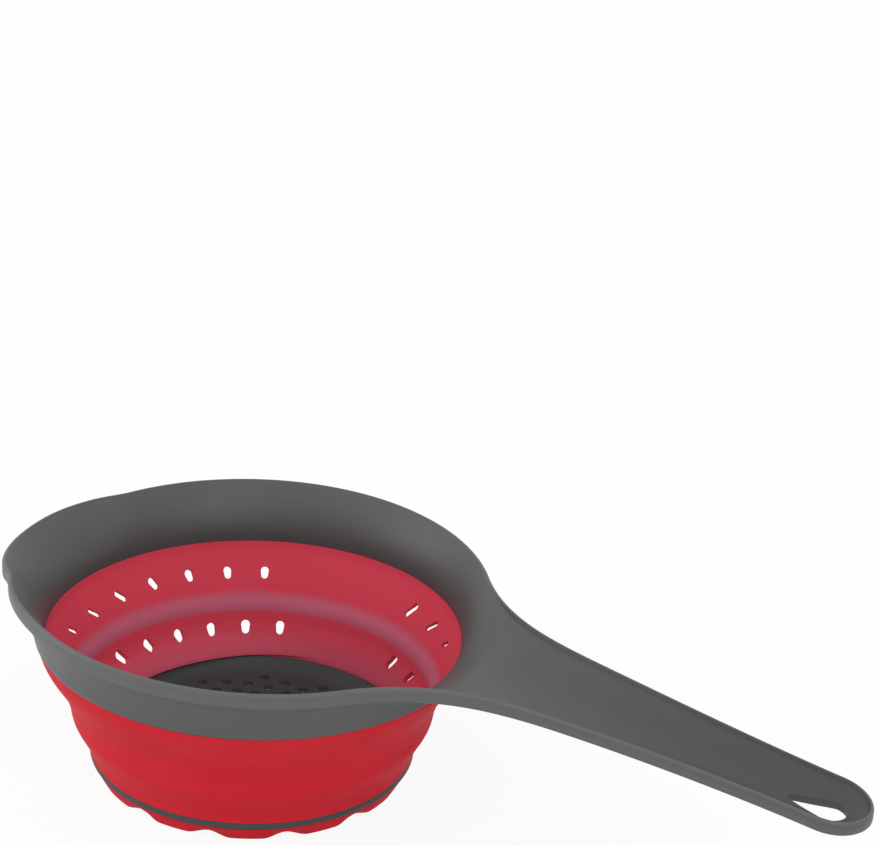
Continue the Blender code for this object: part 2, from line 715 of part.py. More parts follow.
def hang_hole_outline():
    """A teardrop of two arcs, the smaller one towards the bowl."""
    centre = HANDLE_END - HANG_HOLE_MARGIN - HANG_HOLE_RADIUS
    small_centre = centre + HANG_HOLE_RADIUS - HANG_HOLE_LENGTH + HANG_HOLE_POINT_RADIUS
    lean = math.acos((HANG_HOLE_RADIUS - HANG_HOLE_POINT_RADIUS) / (centre - small_centre))
    arcs = (
        (centre, HANG_HOLE_RADIUS, lean - math.pi, 2 * (math.pi - lean), HANG_HOLE_STEPS),
        (small_centre, HANG_HOLE_POINT_RADIUS, math.pi - lean, 2 * lean, HANG_HOLE_POINT_STEPS),
    )
    outline = []
    for middle, radius, first, sweep, steps in arcs:
        for step in range(steps + 1):
            turn = first + sweep * step / steps
            outline.append((middle + radius * math.cos(turn), radius * math.sin(turn)))
    return outline


def build_frame(material):
    loops = []
    for x, y in whole_outline():
        angle = math.atan2(y, x)
        section = frame_section(math.hypot(x, y), angle)
        loops.append([polar(radius, angle, height) for radius, height in section])
    frame = add_object("rim_and_handle", lofted_ring(loops), material)
    hole = bmesh.new()
    below = FRAME_BOTTOM - FRAME_FULL_HEIGHT
    above = FRAME_BOTTOM + FRAME_FULL_HEIGHT
    prism(hang_hole_outline(), below, above, hole)
    cut_with(frame, add_object("hang_hole_cutter", hole, as_cutter=True))
    return frame


def main():
    clear_scene()
    red = make_material("red_silicone", RED_SILICONE, 0.45)
    grey = make_material("grey_plastic", GREY_PLASTIC, 0.50)
    dark = make_material("dark_grey_plastic", DARK_PLASTIC, 0.55)
    build_foot_ring(red)
    build_floor_plate(dark)
    build_lower_band(red)
    build_fold_ring(red)
    build_upper_band(red)
    build_frame(grey)


main()
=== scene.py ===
# %% [markdown]
# A folding colander, open and standing on its foot: a stiff grey frame with a
# long handle, a soft red wall that folds, and a dark perforated floor. The
# packed model gives every piece's place and size in metres. Its solids are
# plain and stay as they are, so each visible piece is drawn again here over
# its own solid, finer and with its finish.

import math

import bpy
import numpy as np
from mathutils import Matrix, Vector


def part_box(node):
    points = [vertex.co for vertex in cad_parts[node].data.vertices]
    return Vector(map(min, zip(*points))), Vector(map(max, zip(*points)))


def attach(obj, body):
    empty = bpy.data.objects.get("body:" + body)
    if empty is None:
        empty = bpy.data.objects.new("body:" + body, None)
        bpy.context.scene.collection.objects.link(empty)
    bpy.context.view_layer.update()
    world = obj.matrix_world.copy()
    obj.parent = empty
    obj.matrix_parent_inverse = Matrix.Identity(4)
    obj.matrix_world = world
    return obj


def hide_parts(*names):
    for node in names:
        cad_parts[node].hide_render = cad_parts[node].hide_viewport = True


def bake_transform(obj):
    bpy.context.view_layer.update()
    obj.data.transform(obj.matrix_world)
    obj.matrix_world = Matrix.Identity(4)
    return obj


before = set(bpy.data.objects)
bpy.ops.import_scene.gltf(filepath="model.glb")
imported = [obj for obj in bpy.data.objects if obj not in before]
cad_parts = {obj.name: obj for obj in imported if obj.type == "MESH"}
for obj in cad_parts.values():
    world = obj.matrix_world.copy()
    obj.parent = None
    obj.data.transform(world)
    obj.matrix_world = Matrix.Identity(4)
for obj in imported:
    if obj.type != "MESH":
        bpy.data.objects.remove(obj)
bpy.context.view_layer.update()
MM = 0.001
plate_low, plate_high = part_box("floor_plate")
BOWL_AXIS_X = (plate_low.x + plate_high.x) / 2 / MM
print("the bowl's axis is at x =", round(BOWL_AXIS_X, 3), "mm")

# %% [markdown]
# The camera stands about a metre away, a third of a right angle above the
# table, on the side of the handle's near edge. A camera can be aimed by a
# constraint, but its place and its three turns are plain numbers here: the
# small turn about its own view is the tilt with which the picture was taken.
# The lens is a long one, so circles stay nearly even.

# %% Camera
CAMERA_PLACE = (0.39179, -0.75307, 0.51983)
CAMERA_TURNS_DEGREES = (67.615, -2.774, 28.542)
CAMERA_LENS_MM = 99.03
CAMERA_SENSOR_MM = 36.0


def add_camera():
    """A perspective camera at a fixed place, turned by X, then Y, then Z."""
    data = bpy.data.cameras.new("camera")
    data.lens = CAMERA_LENS_MM
    data.sensor_width = CAMERA_SENSOR_MM
    data.clip_start = 0.01
    data.clip_end = 50.0
    camera = bpy.data.objects.new("camera", data)
    bpy.context.scene.collection.objects.link(camera)
    camera.location = CAMERA_PLACE
    camera.rotation_euler = [math.radians(turn) for turn in CAMERA_TURNS_DEGREES]
    bpy.context.scene.camera = camera
    return camera


add_camera()
print("the camera stands", round(Vector(CAMERA_PLACE).length, 3), "m from the middle")

# %% [markdown]
# A finish is a sum of noises and masks. Built node by node it is hard to read,
# so this small class holds one output socket and gives it +, - and *, and a
# mask can be written 1 - mask. Its make method adds any other node from its
# type, its settings and its inputs.


# %% Socket expressions
class Socket:
    """One output socket of a node tree, usable in sums."""

    def __init__(self, tree, socket):
        self.tree = tree
        self.socket = socket

    def make(self, kind, settings=None, output=0, **links):
        """Add a node of a kind, with its settings first and then its inputs.

        An input is named by its label, or by i and its number where labels repeat.
        """
        node = self.tree.nodes.new(kind)
        for name, value in (settings or {}).items():
            setattr(node, name, value)
        for name, value in links.items():
            numbered = name[0] == "i" and name[1:].isdigit()
            key = int(name[1:]) if numbered else name.replace("_", " ")
            if isinstance(value, Socket):
                self.tree.links.new(value.socket, node.inputs[key])
            else:
                node.inputs[key].default_value = value
        return Socket(self.tree, node.outputs[output])

    def maths(self, operation, first, second=0.0):
        """A Math node of this operation on two values."""
        return self.make("ShaderNodeMath", {"operation": operation}, i0=first, i1=second)

    def __add__(self, other):
        return self.maths("ADD", self, other)

    def __radd__(self, other):
        return self.maths("ADD", other, self)

    def __sub__(self, other):
        return self.maths("SUBTRACT", self, other)

    def __rsub__(self, other):
        return self.maths("SUBTRACT", other, self)

    def __mul__(self, other):
        return self.maths("MULTIPLY", self, other)

    def __rmul__(self, other):
        return self.maths("MULTIPLY", other, self)

    def between(self, low, high):
        """0 below low, 1 above high and a smooth step from one to the other."""
        return self.make(
            "ShaderNodeMapRange",
            {"interpolation_type": "SMOOTHSTEP"},
            Value=self,
            From_Min=low,
            From_Max=high,
        )

    def around(self, middle, spread):
        """Noise turned into a value that wanders by a spread about a middle."""
        return self * spread + (middle - spread / 2)

    def blend_colours(self, first, second):
        """The first colour where this value is 0 and the second where it is 1."""
        colours = {"data_type": "RGBA"}
        return self.make("ShaderNodeMix", colours, output=2, i0=self, i6=first, i7=second)

    def noise(self, size, detail=2.0, roughness=0.5):
        """Noise with spots of about a size in metres, from 0 to 1."""
        return self.make(
            "ShaderNodeTexNoise", Vector=self, Scale=1.0 / size, Detail=detail, Roughness=roughness
        )

    def bump(self, strength, distance):
        """Surface normals of this height, in metres times the distance."""
        return self.make("ShaderNodeBump", Strength=strength, Distance=distance, Height=self)


print("a socket has", sum(callable(entry) for entry in vars(Socket).values()), "methods")

# %% [markdown]
# Every finish of this colander starts the same way: the Principled shader and
# the point that is being shaded, in the piece's own coordinates, so that the
# pattern stays on the piece when it moves. A mesh attribute carries what only
# the shape knows, such as where an edge is painted lighter as a highlight.


# %% Start of a finish
def new_material(name):
    """A material with only its Principled shader, and the point it is shaded at."""
    material = bpy.data.materials.new(name)
    material.use_nodes = True
    tree = material.node_tree
    shader = tree.nodes["Principled BSDF"]
    place = tree.nodes.new("ShaderNodeTexCoord").outputs["Object"]
    return material, shader, Socket(tree, place)


def painted(place, name):
    """The value of a mesh attribute, 0 on a mesh that hasn't got it."""
    return place.make("ShaderNodeAttribute", {"attribute_name": name}, output=2)


def feed(shader, name, value):
    """Join an expression to one of the shader's inputs."""
    value.tree.links.new(value.socket, shader.inputs[name])


print("the solids come with", len(bpy.data.materials), "materials")

# %% [markdown]
# The grey plastic is a satin moulding. Its colour wanders a little over a few
# centimetres, its roughness over a few millimetres, and a fine spark-eroded
# grain of under a millimetre catches the light. Towards its lower edges and
# the handle's low end it is painted deeper, a painted shade. Its lip is painted
# lighter, a painted highlight, and less so its skirt, a painted light: the mesh
# attribute edge says how much at each point. The floor's plastic is made the
# same way, darker and duller, with the same painted shade low down. An image
# could carry all this, but noise has no seams and stays sharp at any distance.

# %% Grey and dark plastic
GREY = (0.080, 0.081, 0.080, 1.0)
GREY_DEEP = (0.074, 0.075, 0.074, 1.0)
# Painted shade: a darker grey for the frame's low parts, deep in the bowl, on the skirt and at the
# handle's low end.
GREY_PAINTED_SHADE = (0.056, 0.057, 0.056, 1.0)
# Painted light: the lighter grey of the lip and the skirt, a painted highlight.
GREY_PAINTED_LIGHT = (0.105, 0.107, 0.105, 1.0)
# Heights in metres over which the grey's painted shade fades out upwards.
GREY_PAINTED_SHADE_HEIGHTS = (0.061, 0.083)
DARK = (0.045, 0.050, 0.050, 1.0)
DARK_DEEP = (0.039, 0.044, 0.044, 1.0)
# Heights in metres over which the floor's painted shade low down fades out upwards.
DARK_PAINTED_SHADE_HEIGHTS = (0.006, 0.009)
PATCH_EDGES = (0.30, 0.70)
PATCH_DETAIL = 3.0
FLECK_DETAIL = 4.0
GRAIN_DETAIL = 2.0
PLASTIC_PATCH_SIZE = 0.045
PLASTIC_FLECK_SIZE = 0.006
PLASTIC_GRAIN_STRENGTH = 0.30
PLASTIC_ROUGHNESS_SPREAD = 0.10
PAINTED_LIGHT_SPREAD = 0.5


def moulded_plastic(name, tones, painted_shade_heights, roughness, gloss, grain_size, grain_height):
    """Two near tones by broad noise, a painted shade low down, painted light by the attribute
    edge, and a fine grain.
    """
    colour, deep_colour, painted_shade_colour, painted_light_colour = tones
    material, shader, place = new_material(name)
    broad = place.noise(PLASTIC_PATCH_SIZE, PATCH_DETAIL).between(*PATCH_EDGES)
    fine = place.noise(PLASTIC_FLECK_SIZE, FLECK_DETAIL)
    grain = place.noise(grain_size, GRAIN_DETAIL)
    height = place.make("ShaderNodeSeparateXYZ", output=2, i0=place)
    # Painted shade: 0 low down, where the colour is the darker painted shade, and 1 above.
    high = height.between(*painted_shade_heights)
    edge = painted(place, "edge")
    plain = high.blend_colours(painted_shade_colour, broad.blend_colours(colour, deep_colour))
    # Painted light: the attribute edge lightens the lip and skirt as highlights would.
    painted_light = edge * fine.around(1.0, PAINTED_LIGHT_SPREAD)
    feed(shader, "Base Color", painted_light.blend_colours(plain, painted_light_colour))
    feed(shader, "Roughness", fine.around(roughness, PLASTIC_ROUGHNESS_SPREAD))
    feed(shader, "Normal", grain.bump(PLASTIC_GRAIN_STRENGTH, grain_height))
    shader.inputs["Specular IOR Level"].default_value = gloss
    return material


grey = moulded_plastic(
    "grey_plastic",
    (GREY, GREY_DEEP, GREY_PAINTED_SHADE, GREY_PAINTED_LIGHT),
    GREY_PAINTED_SHADE_HEIGHTS,
    roughness=0.47,
    gloss=0.32,
    grain_size=0.0007,
    grain_height=0.00004,
)
dark = moulded_plastic(
    "dark_plastic",
    (DARK, DARK_DEEP, DARK_DEEP, DARK),
    DARK_PAINTED_SHADE_HEIGHTS,
    roughness=0.60,
    gloss=0.28,
    grain_size=0.0009,
    grain_height=0.00006,
)
print("grey plastic has", len(grey.node_tree.nodes), "nodes")

# %% [markdown]
# The red silicone is softer: a matt skin, deeper in broad patches. Where it
# folds again and again, a violet-grey painted sheen, a reflection painted into
# its colour, lies on the skin. The painted sheen follows the shape and not the
# height alone, so it can't be a plain gradient: the mesh attribute inner is 1 on
# the bowl's inside, where the red is painted a little paler and lighter against
# the shade there, and another attribute says how much painted sheen there is.

# %% Red silicone
RED = (0.492, 0.018, 0.030, 1.0)
RED_DEEP = (0.465, 0.014, 0.023, 1.0)
# Painted light: the inside is painted paler and lighter, against the shade inside the bowl.
INNER_PAINTED_LIGHT_RED = (0.590, 0.052, 0.084, 1.0)
# Painted sheen: a violet-grey reflection painted into the red of the inner ledge.
PAINTED_SHEEN = (0.440, 0.100, 0.157, 1.0)
SILICONE_PATCH_SIZE = 0.030
SILICONE_FLECK_SIZE = 0.004
SILICONE_GRAIN_SIZE = 0.0011
SILICONE_GRAIN_STRENGTH = 0.25
SILICONE_GRAIN_HEIGHT = 0.00004
SILICONE_ROUGHNESS = 0.62
SILICONE_ROUGHNESS_SPREAD = 0.12
SILICONE_GLOSS = 0.06
INNER_SPREAD = 0.2
PAINTED_SHEEN_SPREAD = 0.3


def red_silicone(name):
    """Two near reds by broad noise, painted paler inside, and turned to a painted sheen's colour
    by its attribute.
    """
    material, shader, place = new_material(name)
    broad = place.noise(SILICONE_PATCH_SIZE, PATCH_DETAIL).between(*PATCH_EDGES)
    fine = place.noise(SILICONE_FLECK_SIZE, FLECK_DETAIL)
    grain = place.noise(SILICONE_GRAIN_SIZE, GRAIN_DETAIL)
    outer_red = broad.blend_colours(RED, RED_DEEP)
    # Painted light: the inside's paler, lighter red, by the attribute inner.
    painted_light_inside = painted(place, "inner") * fine.around(1.0, INNER_SPREAD)
    # Painted sheen: its attribute says where the reflection's colour is painted.
    painted_sheen_share = painted(place, "painted_sheen") * fine.around(1.0, PAINTED_SHEEN_SPREAD)
    plain = painted_light_inside.blend_colours(outer_red, INNER_PAINTED_LIGHT_RED)
    feed(shader, "Base Color", painted_sheen_share.blend_colours(plain, PAINTED_SHEEN))
    feed(shader, "Roughness", fine.around(SILICONE_ROUGHNESS, SILICONE_ROUGHNESS_SPREAD))
    feed(shader, "Normal", grain.bump(SILICONE_GRAIN_STRENGTH, SILICONE_GRAIN_HEIGHT))
    shader.inputs["Specular IOR Level"].default_value = SILICONE_GLOSS
    return material


red = red_silicone("red_silicone")
print("red silicone has", len(red.node_tree.nodes), "nodes")

# %% [markdown]
# Real mouldings have no sudden changes, so the shapes below are drawn with
# smooth steps and with curves through a few measured points. Blender's own
# curves would do too, but a formula on whole arrays gives evenly spaced points
# that can be moved together afterwards.


# %% Smooth steps and curves
def smooth(value):
    """0 below 0, 1 above 1 and value squared times (3 minus twice value) between."""
    value = np.clip(value, 0.0, 1.0)
    return value * value * (3 - 2 * value)


def mix(start, end, share):
    """The start plus a share of the way to the end."""
    return start + (end - start) * share


def curve(points, count):
    """Count points on a smooth curve through the given points.

    Between two points the curve is a cubic with the slopes of its neighbours,
    and the parameter is the length of the straight lines that join them.
    """
    points = np.array(points, float)
    lengths = np.concatenate([[0.0], np.cumsum(np.linalg.norm(np.diff(points, axis=0), axis=1))])
    slopes = np.gradient(points, lengths, axis=0)
    place = np.linspace(0.0, lengths[-1], count)
    index = np.clip(np.searchsorted(lengths, place, side="right") - 1, 0, len(points) - 2)
    span = (lengths[index + 1] - lengths[index])[:, None]
    share = (place - lengths[index])[:, None] / span
    square = share * share
    cube = square * share
    return (
        (2 * cube - 3 * square + 1) * points[index]
        + (cube - 2 * square + share) * span * slopes[index]
        + (3 * square - 2 * cube) * points[index + 1]
        + (cube - square) * span * slopes[index + 1]
    )


print("a quarter of the way is", float(smooth(0.25)), "of a smooth step")

# %% [markdown]
# Every piece is a grid of points: rows run along a section and columns run
# round the bowl. Blender's Spin tool would turn a section too, but a grid of
# numbers can still be bent afterwards, as the lower wall is. A grid that
# closes both ways is a solid ring with no seam.


# %% Grids that close into rings
def turned_grid(profile, columns):
    """Points (r cos a, r sin a, z) for each (r, z) of a profile and each angle a."""
    profile = np.asarray(profile, float)
    angle = 2 * math.pi * np.arange(columns) / columns
    radius = profile[:, 0][:, None]
    height = np.broadcast_to(profile[:, 1][:, None], (len(profile), columns))
    return np.stack([radius * np.cos(angle), radius * np.sin(angle), height], axis=2)


def ring_faces(rows, columns):
    """Quads that join each row to the next and each column to the next, both ways round."""
    row = np.arange(rows)[:, None]
    column = np.arange(columns)[None, :]
    next_row = (row + 1) % rows
    next_column = (column + 1) % columns
    quads = [
        row * columns + column,
        row * columns + next_column,
        next_row * columns + next_column,
        next_row * columns + column,
    ]
    return np.stack(np.broadcast_arrays(*quads), axis=2).reshape(-1, 4)


print("a ring of 3 rows and 4 columns has", len(ring_faces(3, 4)), "quads")

# %% [markdown]
# A mesh needs points and faces, and its faces have to look outwards. They could
# be turned by hand in Edit Mode, but a closed shape whose faces look inwards
# has a negative volume, so the volume's sign tells when to turn them round. The
# points are in millimetres from the bowl's axis, where round shapes are easiest
# to write.


# %% Meshes in the model's place
def new_object(name, points, faces, material=None):
    """An object at the origin, of points in millimetres from the bowl's axis."""
    placed = (points + (BOWL_AXIS_X, 0.0, 0.0)) * MM
    mesh = bpy.data.meshes.new(name)
    mesh.from_pydata(placed.tolist(), [], faces)
    if material:
        mesh.materials.append(material)
    item = bpy.data.objects.new(name, mesh)
    bpy.context.scene.collection.objects.link(item)
    return item


def enclosed_volume(points, faces):
    """A third of the sum of each face's middle times its area normal."""
    corners = points[faces]
    across = np.cross(corners[:, 2] - corners[:, 0], corners[:, 3] - corners[:, 1]) / 2
    return (corners.mean(axis=1) * across).sum() / 3


def ring_object(name, grid, material):
    """A grid that closes both ways, with its faces outward."""
    points = grid.reshape(-1, 3)
    faces = ring_faces(*grid.shape[:2])
    if enclosed_volume(points, faces) < 0:
        faces = faces[:, ::-1]
    return new_object(name, points, faces.tolist(), material)


def finish_surface(item, sharp_degrees):
    """Smooth shading that stays crisp where faces meet at more than an angle."""
    item.data.shade_smooth()
    item.data.set_sharp_from_angle(angle=math.radians(sharp_degrees))
    triangles = sum(len(face.vertices) - 2 for face in item.data.polygons)
    print(item.name, "has", triangles, "triangles")
    return item


print("points are placed", round(BOWL_AXIS_X * MM, 4), "m along x")

# %% [markdown]
# The colander's holes are real holes: water and light pass through them. Making
# them by leaving faces out would leave ragged edges, so prisms of the hole's
# outline are cut out of the finished wall. All holes of a piece are one cutter,
# because one cut is much quicker than a hundred.


# %% Holes
CUT_SOLVER = "EXACT"


def prisms(name, low_outlines, high_outlines):
    """Closed prisms between pairs of outlines, each an array of points (count, sides, 3)."""
    count, sides = low_outlines.shape[:2]
    points = np.concatenate([low_outlines, high_outlines], axis=1).reshape(-1, 3)
    corner = np.arange(sides)
    after = (corner + 1) % sides
    walls = np.stack([corner, after, sides + after, sides + corner], axis=1)
    first = 2 * sides * np.arange(count)
    faces = (first[:, None, None] + walls).reshape(-1, 4).tolist()
    ends = np.stack([first[:, None] + corner[::-1], first[:, None] + sides + corner], axis=1)
    item = new_object(name, points, faces + ends.reshape(-1, sides).tolist())
    bpy.context.view_layer.objects.active = item
    item.select_set(True)
    bpy.ops.object.mode_set(mode="EDIT")
    bpy.ops.mesh.select_all(action="SELECT")
    bpy.ops.mesh.normals_make_consistent(inside=False)
    bpy.ops.object.mode_set(mode="OBJECT")
    item.select_set(False)
    return item


def upright_prisms(name, outlines, low, high):
    """Prisms of flat outlines, an array (count, sides, 2), from one height to another."""
    ends = [np.full(outlines.shape[:2] + (1,), height) for height in (low, high)]
    return prisms(name, *[np.concatenate([outlines, end], axis=2) for end in ends])


def cut(item, cutter):
    """Take the cutter out of a piece for good, then remove the cutter."""
    change = item.modifiers.new("cut", "BOOLEAN")
    change.operation = "DIFFERENCE"
    change.solver = CUT_SOLVER
    change.object = cutter
    bpy.context.view_layer.objects.active = item
    bpy.ops.object.modifier_apply(modifier=change.name)
    print(item.name, "is cut by", len(cutter.data.vertices), "points of", cutter.name)
    bpy.data.objects.remove(cutter, do_unlink=True)


print("holes are cut with the", CUT_SOLVER.lower(), "solver")

# %% [markdown]
# The frame is one moulding: the tall ring round the bowl, its lip, its spout
# and the long handle. Seen from above it starts as the round rim, which bulges
# out at the spout and at a slight shoulder beside it. A rim modelled by pulling
# points would show dents, so both bulges are smooth functions of the angle,
# added to the rim's radius.

# %% Rim, spout and shoulder
RIM_RADIUS = 96.8
SPOUT_REACH = 7.5
SPOUT_MIDDLE_DEGREES = 7.0
SPOUT_HALF_DEGREES = 25.8
SPOUT_POWER = 0.65
SPOUT_SOFTENING_DEGREES = (3.5, 2.0)
SOFTENING_CHANGE_START = -5.0
SOFTENING_CHANGE_DEGREES = 20.0
SPOUT_SAMPLES = 15
SHOULDER_REACH = 2.9
SHOULDER_RISE_DEGREES = 20.0
SHOULDER_END_DEGREES = 65.5
SHOULDER_FALL_DEGREES = 32.3


def degrees_past_back(angle):
    """Degrees past the point opposite the handle, from -180 to 180."""
    return np.degrees(angle) % 360 - 180


def spout_share(angle):
    """(1 - u squared) to the power 0.65, with u the turn from the spout's middle.

    It is averaged over 7 degrees at the far end and over 4 at the near end.
    """
    past = degrees_past_back(angle)[..., None]
    far_reach, near_reach = SPOUT_SOFTENING_DEGREES
    change = smooth((past - SOFTENING_CHANGE_START) / SOFTENING_CHANGE_DEGREES)
    reach = mix(far_reach, near_reach, change)
    about = reach * np.linspace(-1, 1, SPOUT_SAMPLES)
    turn = (past - SPOUT_MIDDLE_DEGREES + about) / SPOUT_HALF_DEGREES
    return (np.maximum(1 - turn * turn, 0.0) ** SPOUT_POWER).mean(axis=-1)


def shoulder_share(angle):
    """A smooth step up over the 20 degrees before the back, times one down to 65.5 past it."""
    past = degrees_past_back(angle)
    rise = smooth((past + SHOULDER_RISE_DEGREES) / SHOULDER_RISE_DEGREES)
    return rise * smooth((SHOULDER_END_DEGREES - past) / SHOULDER_FALL_DEGREES)


def rim_radius(angle):
    """The plain rim plus the shares of the spout and the shoulder."""
    return RIM_RADIUS + SPOUT_REACH * spout_share(angle) + SHOULDER_REACH * shoulder_share(angle)


spout_tip = rim_radius(np.radians([180.0 + SPOUT_MIDDLE_DEGREES]))[0]
print("the spout reaches", round(float(spout_tip), 1), "mm from the axis")

# %% [markdown]
# On the other side the rim flares into the handle, which tapers to a round
# end. The outline is one closed line of points: half a round end, the tapering
# edge with its flare, and the rim to the back, then the same for the other
# side. Keeping it one line lets the whole edge be rounded in one go later.

# %% Outline of the frame
HANDLE_END = RIM_RADIUS + 168.9
HANDLE_END_RADIUS = 16.8
HANDLE_END_CENTRE = HANDLE_END - HANDLE_END_RADIUS
HANDLE_GAIN = 15.4
HANDLE_GAIN_POWER = 1.65
FLARE_START_SHARE = 0.786
FLARE_START = RIM_RADIUS * FLARE_START_SHARE
FLARE_END = RIM_RADIUS + 55.8
FLARE_POWER = 3.43
CAP_COLUMNS = 36
HANDLE_COLUMNS = 120
HANDLE_COLUMN_POWER = 0.9
RIM_COLUMNS = 170


def handle_half_width(along):
    """The end's radius plus 15.4 times the share of the way back, to the power 1.65."""
    taper = np.maximum((HANDLE_END_CENTRE - along) / (HANDLE_END_CENTRE - RIM_RADIUS), 0.0)
    return HANDLE_END_RADIUS + HANDLE_GAIN * taper**HANDLE_GAIN_POWER


def flared_half_width(along):
    """The handle's half width plus a flare that reaches the rim's own half width."""
    rim_half = math.sqrt(RIM_RADIUS**2 - FLARE_START**2)
    flare = rim_half - handle_half_width(np.float64(FLARE_START))
    share = np.maximum((FLARE_END - along) / (FLARE_END - FLARE_START), 0.0)
    return handle_half_width(along) + flare * share**FLARE_POWER


def half_outline(side):
    """Points from the handle's tip to the back of the bowl, on one side of y."""
    turn = math.pi / 2 * np.arange(CAP_COLUMNS) / CAP_COLUMNS
    cap_along = HANDLE_END_CENTRE + HANDLE_END_RADIUS * np.cos(turn)
    cap = np.stack([cap_along, HANDLE_END_RADIUS * np.sin(turn)], 1)
    steps = (np.arange(HANDLE_COLUMNS) / HANDLE_COLUMNS) ** HANDLE_COLUMN_POWER
    along = mix(HANDLE_END_CENTRE, FLARE_START, steps)
    straight = np.stack([along, flared_half_width(along)], 1)
    angle = np.linspace(math.acos(FLARE_START_SHARE), math.pi, RIM_COLUMNS + 1)
    radius = rim_radius(side * angle)
    rim = np.stack([radius * np.cos(angle), radius * np.sin(angle)], 1)
    return np.concatenate([cap, straight, rim]) * (1, side)


def whole_outline():
    """Both halves as one closed line, without the two points that they share."""
    return np.concatenate([half_outline(1), half_outline(-1)[-2:0:-1]])


print("the outline has", len(whole_outline()), "points")
print("the handle ends", round(HANDLE_END, 1), "mm from the axis")

# %% [markdown]
# All heights of the frame hang on its top edge. The handle droops: its edge
# falls ever steeper from the bowl outwards. Two straight lines would meet in a
# kink, so the fall is a hyperbola, which is nearly level at one end, nearly a
# slope of 8.3 degrees at the other, and bends gently between. The edge also
# dips where the spout pours.

# %% Top edge
FRAME_BOTTOM = 60.0
FRAME_FULL_HEIGHT = 27.6
HANDLE_FALL_DEGREES = 8.3
HANDLE_BEND_START = RIM_RADIUS + 1.9
HANDLE_BEND_LENGTH = 106.5
SPOUT_DIP = 2.8
RIM_EDGE_DEPTH = 6.4
HANDLE_EDGE_DEPTH = 5.3


def rim_top(along, angle):
    """60 + 27.6 minus a hyperbola's fall along the handle, minus a dip at the spout."""
    beyond = along - HANDLE_BEND_START
    steepness = math.tan(math.radians(HANDLE_FALL_DEGREES))
    fall = steepness * (beyond + np.hypot(beyond, HANDLE_BEND_LENGTH)) / 2
    return FRAME_BOTTOM + FRAME_FULL_HEIGHT - fall - SPOUT_DIP * spout_share(angle) ** 2


def flare_share(along):
    """A smooth step from 0 where the flare starts on the rim to 1 where it ends."""
    return smooth((along - FLARE_START) / (FLARE_END - FLARE_START))


def edge_depth(along):
    """How deep the outer edge's face is, less along the handle."""
    return mix(RIM_EDGE_DEPTH, HANDLE_EDGE_DEPTH, flare_share(along))


def handle_fade(along):
    """0 over the bowl and 1 from the rim outwards."""
    start = FLARE_START * FLARE_START_SHARE
    return smooth((along - start) / (RIM_RADIUS - start))


tip_height = rim_top(np.array([HANDLE_END]), np.array([0.0]))[0]
print("the handle's tip is", round(float(tip_height), 1), "mm above the table")

# %% [markdown]
# The inner slope climbs from the soft wall to the lip. Towards the handle it
# runs further out and turns into the long dished top of the handle. The two
# surfaces are written apart and the lower one wins. A plain choice would leave
# a crease, so their meeting is blended over a couple of millimetres.

# %% Slope and dish
FRAME_INNER_RADIUS = 85.0
SLOPE_SPREAD = 22.0
SLOPE_POWERS = (0.50, 0.80)
CREST_INSET = 1.7
CREST_FALL = 0.25
DISH = 6.4
DISH_POWER = 2.1
DISH_LIFT_OVER_BOWL = 12.0
SURFACE_BLEND = 1.8


def edge_nearness(along, across, inset):
    """0 on the handle's middle line and 1 at the inset edge, also round the end."""
    reach = np.hypot(along - HANDLE_END_CENTRE, across) / (HANDLE_END_RADIUS - inset)
    on_rim = np.sqrt(np.maximum(RIM_RADIUS**2 - along**2, RIM_RADIUS**2 - FLARE_START**2))
    half = np.where(along > FLARE_START, flared_half_width(along), on_rim)
    near = np.abs(across) / (half - inset)
    return np.minimum(np.where(along > HANDLE_END_CENTRE, reach, near), 1.0)


def slope_height(radius, angle, spread):
    """From 60 up to the lip, by the share of the way out to a power."""
    inside = rim_radius(angle) + SLOPE_SPREAD * spread - CREST_INSET
    lip_top = rim_top(radius * np.cos(angle), angle) - CREST_FALL
    share = np.clip((radius - FRAME_INNER_RADIUS) / (inside - FRAME_INNER_RADIUS), 0.0, 1.0)
    return mix(FRAME_BOTTOM, lip_top, share ** mix(*SLOPE_POWERS, spread))


def surface_height(along, across, spread):
    """The lower of the slope and the dish, blended by a logarithm over 1.8 mm."""
    radius = np.hypot(along, across)
    angle = np.arctan2(across, along)
    near = edge_nearness(along, across, CREST_INSET)
    dish = rim_top(along, angle) - CREST_FALL - DISH * (1 - near**DISH_POWER)
    dish = dish + DISH_LIFT_OVER_BOWL * (1 - handle_fade(along))
    slope = slope_height(radius, angle, spread)
    overlap = np.log(1 + np.exp(-np.abs(slope - dish) / SURFACE_BLEND))
    return np.minimum(slope, dish) - SURFACE_BLEND * overlap * handle_fade(along)


print("the dish is", DISH, "mm deep and the slope spreads", SLOPE_SPREAD, "mm")

# %% [markdown]
# Underneath, the lip has a flat shaded side, the handle bellies out along its
# middle, and a web stays under the slope so that the moulding is never thin.
# Outside, the skirt drops from the lip to the soft wall. Where skirt and
# underside meet has no simple formula, so the height is found by halving.

# %% Underside and skirt
WEB_THICKNESS = 3.2
BELLY = 4.2
FRAME_SKIRT_RADIUS = 89.4
LIP_OVERHANG = 3.0
SKIRT_POWER = 1.35
BOTTOM_DROP = 0.02
HALVINGS = 24


def underside_height(along, across, spread):
    """The lip's and the handle's underside, or the web under the slope if lower."""
    radius = np.hypot(along, across)
    angle = np.arctan2(across, along)
    near = edge_nearness(along, across, 0.0)
    belly = BELLY * (1 - near * near) * handle_fade(along)
    below_edge = rim_top(along, angle) - edge_depth(along) - belly
    return np.minimum(below_edge, slope_height(radius, angle, spread) - WEB_THICKNESS)


def bottom_height(along):
    """The outer bottom edge drops slightly towards the handle."""
    return FRAME_BOTTOM - BOTTOM_DROP * along


